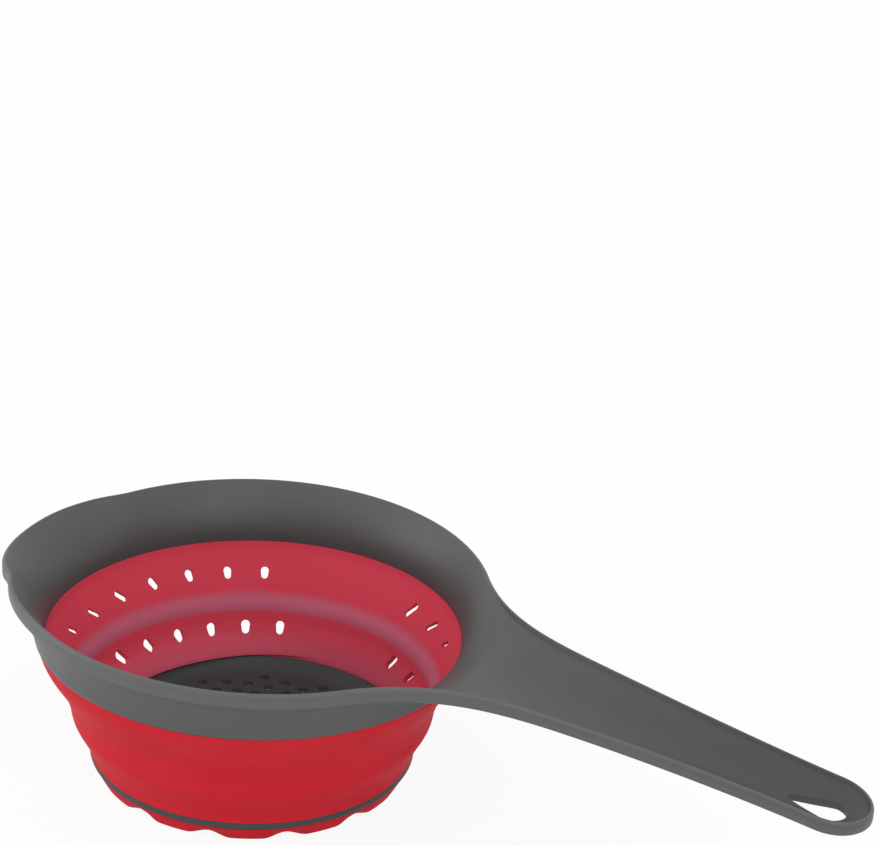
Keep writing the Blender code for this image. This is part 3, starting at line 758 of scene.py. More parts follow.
def skirt_radius(height, angle):
    """From 89.4 mm out to 3 mm inside the rim, by the share of the height to a power."""
    share = np.maximum((height - FRAME_BOTTOM) / (FRAME_FULL_HEIGHT - RIM_EDGE_DEPTH), 0.0)
    return mix(FRAME_SKIRT_RADIUS, rim_radius(angle) - LIP_OVERHANG, share**SKIRT_POWER)


def skirt_top(angle, spread):
    """Height where the skirt meets the underside, by halving the range."""
    low = np.full_like(angle, FRAME_BOTTOM)
    high = low + FRAME_FULL_HEIGHT
    for step in range(HALVINGS):
        middle = (low + high) / 2
        radius = skirt_radius(middle, angle)
        under = underside_height(radius * np.cos(angle), radius * np.sin(angle), spread)
        low = np.where(under > middle, middle, low)
        high = np.where(under > middle, high, middle)
    return low


side_skirt = skirt_radius(80.0, np.array([math.pi / 2]))[0]
print("at the side, 80 mm up, the skirt is", round(float(side_skirt), 1), "mm from the axis")

# %% [markdown]
# Now the frame's section can be walked all the way round: up the slope, over
# the crest, down the lip's outer face, in along the underside and down the
# skirt. Each station is one row of points, and the rows near the edge are moved
# in along the outline's normal. A Bevel modifier could round the lip too, but
# this way its roundness narrows from the rim to the handle without a step. Each
# row also says how much painted light it gets, as a painted highlight on the lip
# and a painted light on the skirt.

# %% Section of the frame
SLOPE_ROWS = 14
SLOPE_ROW_POWER = 1.5
SLOPE_END_GAP = 1.3
SLOPE_END_SHARE = 0.9
TOP_ROWS = 20
TOP_ROW_POWER = 1.7
UNDER_ROWS = 12
SKIRT_ROWS = 9
CREST_WIDTHS = (1.3, 0.9)
# Outwards of the inner radius, above the bottom
INNER_FOOT = ((0.45, -0.05), (0.12, 0.05))
# Share of the way to the crest's foot, drop below the top, painted light
CREST_SIDE = (0.5, 0.08, 0.4)
# Share of the crest's width, drop below the top, painted light
LIP_TURN = ((1.0, 0.0, 0.9), (0.6, 0.10, 0.9), (0.28, 0.38, 0.6), (0.08, 0.80, 0.4))
# Share of the way down the lip's face, painted light
LIP_FACE = ((0.0, 0.35), (0.33, 0.40), (0.67, 0.60), (1.0, 0.55))
# Inset, rise above the lip's lower edge, painted light
LIP_FOOT = ((0.10, 0.70, 0.40), (0.38, 0.28, 0.15), (0.80, 0.05, 0.0))
LIP_FACE_TOP = 1.3
LIP_FACE_FOOT = 1.2
UNDER_INSET = 1.3
# Painted light on the skirt, lighter as a lamp's light would make it.
SKIRT_PAINTED_LIGHT = 0.32
SKIRT_LEAST_HEIGHT = 0.6
SKIRT_FOOT_RISE = 0.5
# Inwards of the skirt's foot, above the bottom
SKIRT_FOOT = ((0.12, 0.15), (0.50, 0.0))


def frame_grid():
    """One row of points a station of the section, from the inner bottom edge round.

    The rows near the edge are the outline moved inwards along its normal. The
    rows further in lie on straight lines from there to the bowl's slope.
    """
    outline = whole_outline()
    tangent = np.roll(outline, -1, axis=0) - np.roll(outline, 1, axis=0)
    tangent /= np.linalg.norm(tangent, axis=1)[:, None]
    normal = np.stack([tangent[:, 1], -tangent[:, 0]], 1)
    edge_radius = np.hypot(outline[:, 0], outline[:, 1])
    angle = np.arctan2(outline[:, 1], outline[:, 0])
    beyond = np.maximum(edge_radius - rim_radius(angle), 0.0)
    spread = beyond / np.hypot(beyond, SLOPE_SPREAD)
    outward = np.stack([np.cos(angle), np.sin(angle)], 1)
    top = rim_top(outline[:, 0], angle)
    low = top - edge_depth(outline[:, 0])
    crest = mix(*CREST_WIDTHS, flare_share(outline[:, 0]))
    rows = []
    painted_light_shares = []

    def add_row(place, height, painted_light=0.0):
        rows.append(np.column_stack([place, height]))
        painted_light_shares.append(np.full(len(place), painted_light))

    def add_edge_row(inset, height, painted_light):
        inset = np.broadcast_to(inset, top.shape)
        add_row(outline - normal * inset[:, None], height, painted_light)

    def add_surface_row(place):
        add_row(place, surface_height(place[:, 0], place[:, 1], spread))

    for outset, rise in INNER_FOOT:
        add_row(outward * (FRAME_INNER_RADIUS + outset), np.full_like(top, FRAME_BOTTOM + rise))
    slope_end = np.minimum(
        rim_radius(angle) + SLOPE_SPREAD * spread - CREST_INSET - SLOPE_END_GAP,
        mix(FRAME_INNER_RADIUS, edge_radius - CREST_INSET, SLOPE_END_SHARE),
    )
    for share in (np.arange(1, SLOPE_ROWS + 1) / SLOPE_ROWS) ** SLOPE_ROW_POWER:
        add_surface_row(outward * mix(FRAME_INNER_RADIUS, slope_end, share)[:, None])
    crest_foot = outline - normal * CREST_INSET
    for share in 1 - (1 - np.arange(1, TOP_ROWS + 1) / TOP_ROWS) ** TOP_ROW_POWER:
        add_surface_row(mix(outward * slope_end[:, None], crest_foot, share))
    share, drop, painted_light = CREST_SIDE
    add_edge_row(mix(crest, CREST_INSET, share), top - drop, painted_light)
    for share, drop, painted_light in LIP_TURN:
        add_edge_row(crest * share, top - drop, painted_light)
    for share, painted_light in LIP_FACE:
        add_edge_row(0.0, mix(top - LIP_FACE_TOP, low + LIP_FACE_FOOT, share), painted_light)
    for inset, rise, painted_light in LIP_FOOT:
        add_edge_row(inset, low + rise, painted_light)
    turn_in = outline - normal * UNDER_INSET
    skirt_height = skirt_top(angle, spread)
    skirt_edge = skirt_radius(skirt_height, angle)
    for share in np.arange(UNDER_ROWS) / UNDER_ROWS:
        place = mix(turn_in, outward * skirt_edge[:, None], share)
        add_row(place, underside_height(place[:, 0], place[:, 1], spread))
    bottom = bottom_height(FRAME_SKIRT_RADIUS * np.cos(angle))
    skirt_height = np.maximum(skirt_height, bottom + SKIRT_LEAST_HEIGHT)
    for share in np.arange(SKIRT_ROWS) / (SKIRT_ROWS - 1):
        height = mix(skirt_height, bottom + SKIRT_FOOT_RISE, share)
        add_row(outward * skirt_radius(height, angle)[:, None], height, SKIRT_PAINTED_LIGHT)
    for inset, rise in SKIRT_FOOT:
        add_row(outward * (FRAME_SKIRT_RADIUS - inset), bottom + rise)
    return np.stack(rows), np.concatenate(painted_light_shares)


print("the section has", len(frame_grid()[0]), "stations")

# %% [markdown]
# Near its end the handle has a teardrop hole to hang it by: a large and a small
# arc joined by straight lines that touch both. Two cylinders and a wedge would
# cut it in three goes, but one outline does it in one. Its lines touch where
# the arcs' radii lean by an angle whose cosine is the difference of the radii
# over the distance between the centres, so the outline has no corner.

# %% Frame piece
HANG_HOLE_TO_TIP = 9.4
HANG_HOLE_RADIUS = 6.8
HANG_HOLE_SMALL_RADIUS = 2.2
HANG_HOLE_LENGTH = 22.8
HANG_HOLE_ARC_POINTS = (41, 15)
HANG_HOLE_CUT = (40.0, 75.0)
FRAME_SHARP_DEGREES = 38.0


def hang_hole_outline():
    """Two arcs joined by their common tangents."""
    centre = HANDLE_END - HANG_HOLE_TO_TIP - HANG_HOLE_RADIUS
    small_centre = centre + HANG_HOLE_RADIUS - HANG_HOLE_LENGTH + HANG_HOLE_SMALL_RADIUS
    lean = math.acos((HANG_HOLE_RADIUS - HANG_HOLE_SMALL_RADIUS) / (centre - small_centre))
    big_steps, small_steps = [np.linspace(0, 1, count) for count in HANG_HOLE_ARC_POINTS]
    big_turn = lean - math.pi + 2 * (math.pi - lean) * big_steps
    small_turn = math.pi - lean + 2 * lean * small_steps
    arcs = (
        (centre, HANG_HOLE_RADIUS, big_turn),
        (small_centre, HANG_HOLE_SMALL_RADIUS, small_turn),
    )
    return np.concatenate(
        [np.stack([middle + r * np.cos(turn), r * np.sin(turn)], 1) for middle, r, turn in arcs]
    )


def build_frame():
    """The frame's ring of stations, with its painted light, less the hang hole."""
    grid, painted_light_shares = frame_grid()
    item = ring_object("frame_moulding", grid, grey)
    # Painted light: the attribute edge says how much lighter each point is painted.
    edge = item.data.attributes.new("edge", "FLOAT", "POINT")
    edge.data.foreach_set("value", painted_light_shares)
    cut(item, upright_prisms("hole_cutter", hang_hole_outline()[None], *HANG_HOLE_CUT))
    finish_surface(item, FRAME_SHARP_DEGREES)
    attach(item, "top")
    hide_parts("rim_and_handle")
    return item


build_frame()

# %% [markdown]
# The soft wall is one silicone moulding that folds at two rings. It is drawn as
# two rings, each turned from one closed profile. The upper one has the thick
# fold ring with its inner ledge at its foot. A profile could be a row of arcs,
# but soft rubber has no true arcs, so it is a few points of radius and height,
# and the smooth curve through them gives the soft shoulders.

# %% Sections of the soft wall
WALL_COLUMNS = 288
UPPER_OUTSIDE = (
    (75.20, 27.20), (75.38, 28.5), (75.60, 30.0), (75.90, 31.6), (76.40, 33.2), (77.20, 36.0),
    (78.40, 39.0), (79.90, 42.0), (81.70, 45.0), (83.60, 48.0), (85.45, 51.0), (87.00, 54.0),
    (88.20, 57.0), (88.75, 59.0), (88.90, 59.8),
)
UPPER_INSIDE = (
    (84.95, 59.8), (84.60, 57.0), (83.00, 52.0), (80.70, 46.5), (78.75, 42.0), (77.65, 39.4),
    (76.95, 38.0), (76.10, 36.8), (75.05, 35.6), (74.10, 34.2), (73.50, 32.6), (73.15, 31.0),
    (72.80, 29.2), (72.35, 27.20),
)
LOWER_OUTSIDE = (
    (67.80, 9.25), (67.95, 10.5), (68.40, 12.4), (69.50, 15.0), (71.00, 18.0), (72.60, 21.0),
    (74.10, 23.8), (74.75, 25.4), (75.02, 26.4), (75.19, 27.18),
)
LOWER_INSIDE = (
    (72.34, 27.18), (71.95, 26.0), (71.30, 24.4), (69.90, 21.4), (68.40, 18.0), (67.10, 15.0),
    (66.15, 12.4), (65.80, 10.5), (65.70, 9.25),
)


def wall_profile(outside, inside, count):
    """An outer curve up and an inner curve down, joined by flat ends."""
    return np.concatenate([curve(outside, count), curve(inside, count)])


for name, section in (("upper", UPPER_OUTSIDE), ("lower", LOWER_OUTSIDE)):
    print("the", name, "wall rises from", section[0][1], "to", section[-1][1], "mm")

# %% [markdown]
# Water drains through two rows of egg-shaped slots on one side of the wall.
# They stand upright in the middle of the side and lean away from it on both
# sides, longer and thinner the more they lean. An image of holes would look
# flat, because a real cut shows how thick the wall is. So each slot is an egg
# outline laid on the wall's slope and pushed through it squarely.

# %% Slots
# Each slot's angle, its rise above its row, and its shares of length and width
UPPER_SLOTS = (
    (42, 0.0, 0.8, 0.8), (54, 0.0, 1.2, 0.85), (66, 0.0, 1.35, 0.9), (119.4, -0.4, 1, 1),
    (131.0, -0.3, 1, 1), (143.3, 0.0, 1, 1.05), (155.6, -0.2, 1, 1.05),
    (168.3, -0.8, 0.95, 1), (181.0, -1.6, 0.95, 0.85), (194.0, -1.5, 0.9, 0.85),
)
LOWER_SLOTS = (
    (54, 0.0, 1.3, 0.85), (66, 0.0, 1.35, 0.95), (113.3, 0.15, 1, 1), (125.4, 0.05, 1, 1),
    (137.6, -0.3, 1, 1), (149.8, -0.6, 1, 1.1), (162.3, -1.1, 1.05, 1.15),
    (175.3, -1.0, 1.2, 1.25),
)
UPRIGHT_SLOT_DEGREES = 125.0
MOST_LEAN_DEGREES = 48.0
LEAN_GROWTH_PAST = 52.0
LEAN_START_BEFORE = 8.0
LEAN_GROWTH_BEFORE = 75.0
SLOT_TOP_RADIUS = 1.80
SLOT_TOP_LOSS = 0.60
SLOT_FOOT_RADIUS = 1.50
SLOT_FOOT_LOSS = 0.35
SLOT_HALF_LENGTH = 2.70
SLOT_HALF_LENGTH_GAIN = 1.40
SLOT_END_POINTS = 13
SLOT_CUT_REACH = 4


def slot_lean(degrees):
    """A smooth step from 0 at 125 degrees to 48 degrees of lean on either side.

    It ends 52 degrees past there, and 83 degrees before it, on the handle's side.
    """
    from_middle = degrees - UPRIGHT_SLOT_DEGREES
    past = from_middle / LEAN_GROWTH_PAST
    before = (-from_middle - LEAN_START_BEFORE) / LEAN_GROWTH_BEFORE
    step = np.where(from_middle > 0, past, before)
    return np.radians(np.copysign(MOST_LEAN_DEGREES * smooth(step), from_middle))


def egg_outlines(top_radius, foot_radius, half_long):
    """Half circles of two radii at the ends of a length, one outline for each slot."""
    turn = np.linspace(0, math.pi, SLOT_END_POINTS)[None]
    across = [top_radius * np.cos(turn), -foot_radius * np.cos(turn)]
    along = [
        half_long - top_radius + top_radius * np.sin(turn),
        foot_radius - half_long - foot_radius * np.sin(turn),
    ]
    return np.stack([np.concatenate(across, axis=1), np.concatenate(along, axis=1)], axis=2)


def slot_cutters(name, places, radius, height, slope, size, lean_share):
    """Egg-shaped prisms through the wall, leaning by lean_share times slot_lean.

    A slot that leans much is longer and narrower, by a share that is the cube
    of its lean over 48 degrees: from 5.4 by 3.6 mm to 8.2 by 2.4 mm, times size
    and times the slot's own shares of length and width.
    """
    degrees, rise, long_share, wide_share = np.array(places, float).T
    angle = np.radians(degrees)
    lean = lean_share * slot_lean(degrees)[:, None]
    share = (np.abs(lean) / math.radians(MOST_LEAN_DEGREES)) ** 3
    outline = egg_outlines(
        (SLOT_TOP_RADIUS - SLOT_TOP_LOSS * share) * size * wide_share[:, None],
        (SLOT_FOOT_RADIUS - SLOT_FOOT_LOSS * share) * size * wide_share[:, None],
        (SLOT_HALF_LENGTH + SLOT_HALF_LENGTH_GAIN * share) * size * long_share[:, None],
    )
    zero = np.zeros_like(angle)
    out = np.stack([np.cos(angle), np.sin(angle), zero], 1)
    side = np.stack([-np.sin(angle), np.cos(angle), zero], 1)
    up_wall = (out * slope + (0, 0, 1)) / math.hypot(slope, 1)
    through = np.cross(side, up_wall)[:, None, :] * SLOT_CUT_REACH
    slot_long = up_wall * np.cos(lean) + side * np.sin(lean)
    slot_across = side * np.cos(lean) - up_wall * np.sin(lean)
    centre = out * (radius + slope * rise)[:, None] + np.column_stack([zero, zero, height + rise])
    flat = (
        centre[:, None, :]
        + slot_across[:, None, :] * outline[:, :, :1]
        + slot_long[:, None, :] * outline[:, :, 1:]
    )
    return prisms(name, flat - through, flat + through)


print("there are", len(UPPER_SLOTS), "upper and", len(LOWER_SLOTS), "lower slots")

# %% [markdown]
# The painted sheen, a reflection painted into the colour, lies on the inner
# ledge, which is bent most at each fold, and comes back more faintly low in the
# bowl. Paint by height alone would colour the outside too, so the mesh's own
# points are measured after the slots are cut, and those on the inner side of the
# wall's middle are marked.

# %% Painted sheen on the inside
# The height where a smooth step begins, and its length
LEDGE_FOOT = (30.6, 1.6)
LEDGE_TOP = (40.5, 4.5)
LOW_PAINTED_SHEEN_TOP = (28.0, 13.0)
# Painted sheen low in the bowl, a fainter painted reflection.
LOW_PAINTED_SHEEN = 0.55
SECTION_SAMPLES = 60


def add_painted_sheen(item, outside, inside):
    """The attributes inner and painted sheen at each point, from its radius and height.

    Inner, which also marks the red painted lighter, is 1 where a point is further
    in than the middle of the wall. There the painted sheen is full over the ledge,
    between smooth steps that start at 30.6 mm and end at 40.5 mm, and grows again
    from 28 mm down to the floor.
    """
    points = np.empty(len(item.data.vertices) * 3)
    item.data.vertices.foreach_get("co", points)
    points = points.reshape(-1, 3) / MM - (BOWL_AXIS_X, 0.0, 0.0)
    radius = np.hypot(points[:, 0], points[:, 1])
    height = points[:, 2]
    outer = curve(outside, SECTION_SAMPLES)
    inner = curve(inside, SECTION_SAMPLES)[::-1]
    middle = (
        np.interp(height, outer[:, 1], outer[:, 0]) + np.interp(height, inner[:, 1], inner[:, 0])
    ) / 2
    ledge = smooth((height - LEDGE_FOOT[0]) / LEDGE_FOOT[1])
    ledge = ledge * smooth((LEDGE_TOP[0] - height) / LEDGE_TOP[1])
    low = LOW_PAINTED_SHEEN * smooth((LOW_PAINTED_SHEEN_TOP[0] - height) / LOW_PAINTED_SHEEN_TOP[1])
    inner_share = (radius < middle).astype(float)
    # The second attribute is the painted sheen.
    for name, values in (("inner", inner_share), ("painted_sheen", np.maximum(ledge, low) * inner_share)):
        attribute = item.data.attributes.new(name, "FLOAT", "POINT")
        attribute.data.foreach_set("value", values)
    print(item.name, "has", int(inner_share.sum()), "of", len(points), "points inside")


print("the ledge's bloom is full from", sum(LEDGE_FOOT), "to", LEDGE_TOP[0] - LEDGE_TOP[1], "mm")

# %% [markdown]
# The upper wall runs from the fold ring up under the frame. The frame's lower
# edge isn't quite level, so the wall's outer top edge is moved to follow it.
# When the colander folds, the frame sinks past the fold ring.

# %% Upper wall
UPPER_ROWS = 64
WALL_SHARP_DEGREES = 40.0
# Where the wall begins to follow the frame, and over how many millimetres
FOLLOW_HEIGHT = (52.0, 8.0)
FOLLOW_RADIUS = (85.0, 3.5)


def build_upper_wall():
    """The upper ring, whose outer top edge follows the frame's lower edge."""
    grid = turned_grid(wall_profile(UPPER_OUTSIDE, UPPER_INSIDE, UPPER_ROWS), WALL_COLUMNS)
    along = grid[:, :, 0]
    near_top = smooth((grid[:, :, 2] - FOLLOW_HEIGHT[0]) / FOLLOW_HEIGHT[1])
    outside = smooth((np.hypot(along, grid[:, :, 1]) - FOLLOW_RADIUS[0]) / FOLLOW_RADIUS[1])
    grid[:, :, 2] += (bottom_height(along) - FRAME_BOTTOM) * near_top * outside
    item = ring_object("soft_wall_upper", grid, red)
    slots = slot_cutters(
        "upper_slots", UPPER_SLOTS, radius=81.6, height=46.6, slope=0.62, size=1.0, lean_share=1.0
    )
    cut(item, slots)
    add_painted_sheen(item, UPPER_OUTSIDE, UPPER_INSIDE)
    finish_surface(item, WALL_SHARP_DEGREES)
    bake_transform(item)
    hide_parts("upper_wall_band", "fold_ring")
    return item


build_upper_wall()

# %% [markdown]
# The lower wall runs from the floor up to the fold ring. On one side the soft
# inner face sags inwards and hides the floor's raised rim, as a skin with
# nothing behind it does. It could be sculpted, but moving only the inner half
# of the grid makes the same sag and leaves the outside round.

# %% Lower wall
LOWER_ROWS = 40
SAG = 5.2
SAG_START_DEGREES = 90.0
SAG_GROWTH_DEGREES = 65.0
SAG_LENGTH_DEGREES = 140.0
SAG_FADE_DEGREES = 60.0
# The height where a smooth step begins, and its length
SAG_TOP = (23.0, 8.5)
SAG_FOOT = (13.42, 0.3)


def build_lower_wall():
    """The lower ring, whose inner face sags inwards over the floor's rim on one side.

    The sag is 5.2 mm times smooth steps: up from 90 degrees, down to 230, in
    from 23 mm of height, and out again just above the rim at 13.4 mm.
    """
    profile = wall_profile(LOWER_OUTSIDE, LOWER_INSIDE, LOWER_ROWS)
    grid = turned_grid(profile, WALL_COLUMNS)
    inner = slice(len(profile) // 2, None)
    height = grid[inner, :, 2]
    degrees = np.degrees(np.arctan2(grid[inner, :, 1], grid[inner, :, 0]))
    degrees = (degrees - SAG_START_DEGREES) % 360
    sag = SAG * smooth(degrees / SAG_GROWTH_DEGREES)
    sag = sag * smooth((SAG_LENGTH_DEGREES - degrees) / SAG_FADE_DEGREES)
    sag = sag * smooth((SAG_TOP[0] - height) / SAG_TOP[1])
    sag = sag * smooth((height - SAG_FOOT[0]) / SAG_FOOT[1])
    radius = np.hypot(grid[inner, :, 0], grid[inner, :, 1])
    grid[inner, :, :2] *= (1 - sag / radius)[:, :, None]
    item = ring_object("soft_wall_lower", grid, red)
    slots = slot_cutters(
        "lower_slots", LOWER_SLOTS, radius=72.9, height=23.5, slope=0.5, size=1.12, lean_share=0.75
    )
    cut(item, slots)
    add_painted_sheen(item, LOWER_OUTSIDE, LOWER_INSIDE)
    finish_surface(item, WALL_SHARP_DEGREES)
    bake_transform(item)
    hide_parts("lower_wall_band")
    return item


build_lower_wall()

# %% [markdown]
# The floor's drain holes follow a pattern: a centre hole, a ring of four and
# twelve curved arms, with two short rows between each arm and the next. They
# could be placed one by one, but the pattern is a rule, so two numbers a hole
# are enough: how far out it is, and how far round.

# %% Pattern of the floor's holes
HOLE_RADIUS = 2.25
HOLE_SIDES = 20
HOLE_RING_RADIUS = 9.4
HOLE_RING_TURN = math.radians(28.2)
HOLE_ARMS = 12
HOLE_ARM_TURN = math.radians(13.2)
HOLE_ARM_RADIUS = 17.85
HOLE_PITCH = 8.8
HOLE_ROW_TWIST = math.radians(3.5)
# Where a row starts, in pitches, its share of the way to the next arm, its holes
HOLE_ROWS = ((0, 0.0, 5), (2.32, 1 / 3, 2), (2.63, 2 / 3, 2))


def hole_centres():
    """A centre hole, a ring of four, and arms whose rows turn 3.5 degrees a step."""
    places = [(0.0, 0.0)]
    places += [(HOLE_RING_RADIUS, HOLE_RING_TURN + number * math.pi / 2) for number in range(4)]
    arm_step = 2 * math.pi / HOLE_ARMS
    for arm in range(HOLE_ARMS):
        for first, share, count in HOLE_ROWS:
            start = HOLE_ARM_TURN + arm * arm_step + share * arm_step
            outs = [first + number for number in range(count)]
            places += [
                (HOLE_ARM_RADIUS + out * HOLE_PITCH, start + out * HOLE_ROW_TWIST) for out in outs
            ]
    return np.array(places)


print("the floor has", len(hole_centres()), "holes")

# %% [markdown]
# The floor itself is a shallow dish with a raised rim on its inside. Its outer
# edge shows as a thin dark line under the wall. It is turned like the wall, but
# it has a middle, so its first and last points close as fans of triangles.

# %% Floor plate
PLATE_COLUMNS = 144
PLATE_PROFILE = (
    (0.0, 9.0), (20.0, 9.0), (40.0, 9.0), (55.4, 9.0), (57.2, 9.1), (59.0, 9.6),
    (60.8, 10.6), (62.2, 11.8), (63.1, 12.8), (63.8, 13.3), (64.5, 13.4), (65.1, 13.2),
    (65.3, 12.7), (65.35, 11.0), (65.35, 9.15), (66.9, 9.05), (67.35, 8.85), (67.55, 8.3),
    (67.6, 7.5), (67.55, 6.6), (67.3, 6.15), (66.6, 6.02), (58.0, 6.02), (57.4, 6.6),
    (40.0, 6.6), (20.0, 6.6), (0.0, 6.6),
)
HOLE_CUT = (3.0, 16.0)
PLATE_SHARP_DEGREES = 35.0


def plate_mesh():
    """The turned profile's points and faces, with a fan to a hub at each end."""
    profile = np.array(PLATE_PROFILE)
    rows = len(profile) - 2
    hubs = [(0, 0, profile[0, 1]), (0, 0, profile[-1, 1])]
    points = np.concatenate([turned_grid(profile[1:-1], PLATE_COLUMNS).reshape(-1, 3), hubs])
    last = (rows - 1) * PLATE_COLUMNS
    hub = rows * PLATE_COLUMNS
    corner = np.arange(PLATE_COLUMNS)
    after = (corner + 1) % PLATE_COLUMNS
    top_fan = np.stack([corner, after, np.full_like(corner, hub)], axis=1)
    low_fan = np.stack([last + after, last + corner, np.full_like(corner, hub + 1)], axis=1)
    quads = ring_faces(rows, PLATE_COLUMNS)[:last, ::-1]
    fans = np.stack([top_fan, low_fan], axis=1).reshape(-1, 3)
    return points, quads.tolist() + fans.tolist()


def build_floor_plate():
    """The dish less its holes, which are upright prisms of 20 sides."""
    item = new_object("bowl_floor", *plate_mesh(), dark)
    out, turn = hole_centres().T
    middle = np.stack([out * np.cos(turn), out * np.sin(turn)], 1)
    sides = 2 * math.pi * np.arange(HOLE_SIDES) / HOLE_SIDES
    circle = HOLE_RADIUS * np.stack([np.cos(sides), np.sin(sides)], 1)
    cut(item, upright_prisms("floor_holes", middle[:, None, :] + circle[None], *HOLE_CUT))
    finish_surface(item, PLATE_SHARP_DEGREES)
    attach(item, "base")
    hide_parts("floor_plate")
    return item


build_floor_plate()

# %% [markdown]
# The foot ring lifts the floor, so that water runs away under it. It stands on
# thirteen flat lobes with low arches between them. Cutting the arches out would
# leave sharp corners, so one wave raises the lower edge at each arch and draws
# it in by the same share.

# %% Foot ring
LOBES = 13
LOBE_COLUMNS = 26
LOBE_TURN = math.radians(-4.0)
LOBE_FLAT_SHARE = 0.40
ARCH_HEIGHT = 2.0
ARCH_DRAW = 0.9
FOOT_RADIUS = 64.4
FOOT_SIDE = (66.5, 4.9)
FOOT_INNER_EDGE = ((60.5, 0.0), (60.2, 0.3))
FOOT_SEAT = ((60.2, 5.4), (60.5, 5.7), (66.0, 5.7), (66.45, 5.5), FOOT_SIDE)
FOOT_SIDE_SHARES = (0.25, 0.5, 0.75, 0.92)
FOOT_SIDE_POWER = 1.4
FOOT_SIDE_RISE = 0.5
FOOT_OUTER_EDGE = ((0.0, 0.45), (0.12, 0.15), (0.45, 0.0))
FOOT_SHARP_DEGREES = 50.0


def build_foot_ring():
    """A ring whose lower edge rises and draws in by the same wave at each arch."""
    columns = LOBES * LOBE_COLUMNS
    angle = LOBE_TURN + 2 * math.pi * np.arange(columns) / columns
    turn = (angle - LOBE_TURN) * LOBES / (2 * math.pi)
    from_lobe = np.abs(turn - np.round(turn)) * 2
    wave = smooth((from_lobe - LOBE_FLAT_SHARE) / (1 - LOBE_FLAT_SHARE))
    low = ARCH_HEIGHT * wave
    foot = FOOT_RADIUS - ARCH_DRAW * wave
    even = np.ones(columns)
    rows = [(radius * even, low + height) for radius, height in FOOT_INNER_EDGE]
    rows += [(radius * even, height * even) for radius, height in FOOT_SEAT]
    side_radius, side_height = FOOT_SIDE
    for share in FOOT_SIDE_SHARES:
        height = mix(side_height, low + FOOT_SIDE_RISE, share)
        rows.append((mix(side_radius, foot, share**FOOT_SIDE_POWER), height))
    rows += [(foot - inset, low + rise) for inset, rise in FOOT_OUTER_EDGE]
    grid = np.stack([np.stack([r * np.cos(angle), r * np.sin(angle), z], 1) for r, z in rows])
    item = ring_object("foot_ring_soft", grid, red)
    finish_surface(item, FOOT_SHARP_DEGREES)
    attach(item, "base")
    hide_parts("foot_ring")
    return item


build_foot_ring()

# %% [markdown]
# The studio's floor is pale paint. It could be made whiter by more light, but
# then the colander would be too bright as well. Instead, what the camera or a
# mirror sees of it is mixed with plain white light, and the rays that light the
# colander meet the paint alone. The paint still takes the soft shadow.

# %% Studio floor
FLOOR_REACH = 6.0
FLOOR_WHITE = 0.86
FLOOR_GLOW_SHARE = 0.91
WHITE = (1.0, 1.0, 1.0, 1.0)


def seen_share(tree):
    """1 for camera, glossy and transmitted rays, and 0 for the rays that light things."""
    path = tree.nodes.new("ShaderNodeLightPath")
    kinds = ("Camera", "Glossy", "Transmission")
    camera, glossy, transmitted = [Socket(tree, path.outputs[f"Is {kind} Ray"]) for kind in kinds]
    return camera.maths("MAXIMUM", camera.maths("MAXIMUM", camera, glossy), transmitted)


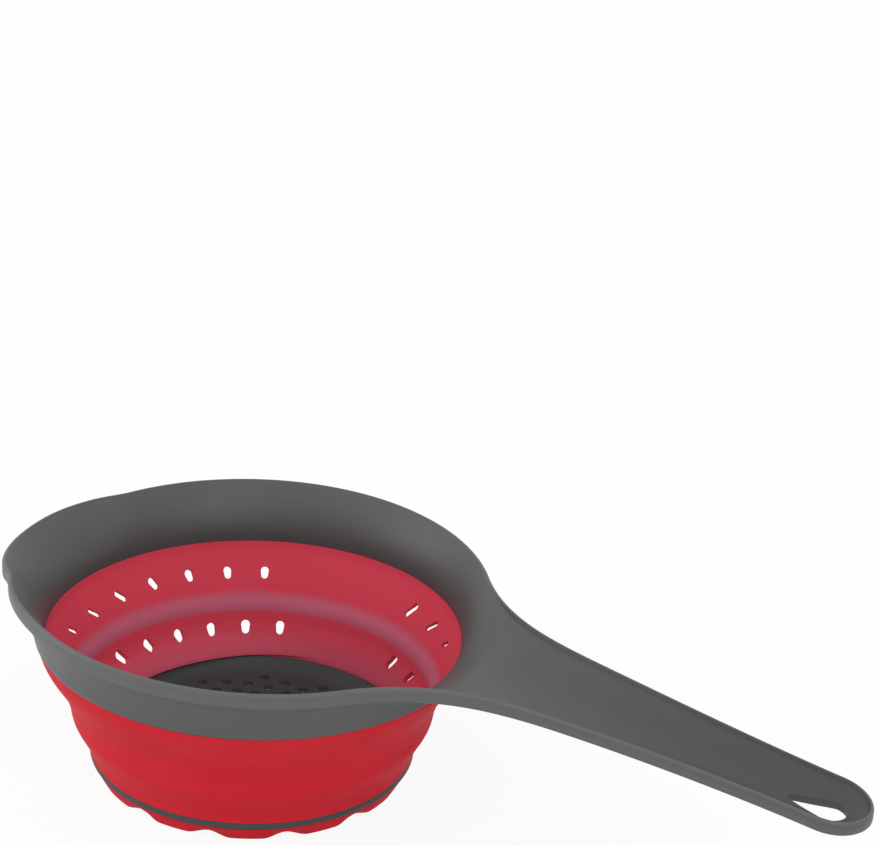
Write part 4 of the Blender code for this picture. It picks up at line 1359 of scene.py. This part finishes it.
def add_floor():
    """A square of 4 points, whiter to the camera and in mirrors than it is to light."""
    corners = FLOOR_REACH * np.array([(-1, -1, 0), (1, -1, 0), (1, 1, 0), (-1, 1, 0)], float)
    mesh = bpy.data.meshes.new("studio_floor")
    mesh.from_pydata(corners.tolist(), [], [(0, 1, 2, 3)])
    floor = bpy.data.objects.new("studio_floor", mesh)
    bpy.context.scene.collection.objects.link(floor)
    material = bpy.data.materials.new("studio_white")
    material.use_nodes = True
    tree = material.node_tree
    tree.nodes.clear()
    seen = seen_share(tree)
    paint = seen.make("ShaderNodeBsdfDiffuse", Color=(FLOOR_WHITE,) * 3 + (1.0,))
    glow = seen.make("ShaderNodeEmission", Color=WHITE, Strength=1.0)
    mixed = seen.make("ShaderNodeMixShader", i0=seen * FLOOR_GLOW_SHARE, i1=paint, i2=glow)
    output = tree.nodes.new("ShaderNodeOutputMaterial")
    tree.links.new(mixed.socket, output.inputs["Surface"])
    mesh.materials.append(material)
    return floor


add_floor()
print("the floor reaches", FLOOR_REACH, "m each way")

# %% [markdown]
# The light is a soft pale sky, a little darker overhead, with a broad low lamp
# to the left and another, nearly as strong, to the right. A single strong lamp
# would show the shapes better but would leave a hard shadow, and the picture
# has nearly none.

# %% Sky and lamps
SKY_SIDES = 1.05
SKY_TOP = 0.86
SKY_TOP_RISE = 0.9
LAMP_SIDE = 1.0
KEY_PLACE = (-1.3, -0.75, 0.45)
KEY_WATTS = 9.5
FILL_PLACE = (1.2, -0.9, 0.9)
FILL_WATTS = 8.5


def add_sky():
    """A pale sky, a little darker overhead, that the camera and mirrors see as white."""
    world = bpy.data.worlds.new("studio_sky")
    bpy.context.scene.world = world
    world.use_nodes = True
    tree = world.node_tree
    background = tree.nodes["Background"]
    background.inputs["Color"].default_value = WHITE
    seen = seen_share(tree)
    way = Socket(tree, tree.nodes.new("ShaderNodeTexCoord").outputs["Generated"])
    rise = way.make("ShaderNodeSeparateXYZ", output=2, i0=way)
    level = rise.between(0.0, SKY_TOP_RISE) * (SKY_TOP - SKY_SIDES) + SKY_SIDES
    strength = seen * (1.0 - level) + level
    tree.links.new(strength.socket, background.inputs["Strength"])


def add_lamp(name, place, side, watts):
    """A square soft lamp that faces the colander."""
    data = bpy.data.lights.new(name, "AREA")
    data.shape = "SQUARE"
    data.size = side
    data.energy = watts
    lamp = bpy.data.objects.new(name, data)
    bpy.context.scene.collection.objects.link(lamp)
    lamp.location = place
    away = Vector(place)
    lamp.rotation_euler = away.to_track_quat("Z", "Y").to_euler()
    print(name, "stands", round(away.length, 2), "m away")
    return lamp


add_sky()
add_lamp("key_lamp", KEY_PLACE, LAMP_SIDE, KEY_WATTS)
add_lamp("fill_lamp", FILL_PLACE, LAMP_SIDE, FILL_WATTS)

# %% [markdown]
# Last, the picture is shown without a film look, so that a colour comes out as
# it is written.

# %% Finish
scene = bpy.context.scene
scene.view_settings.view_transform = "Standard"
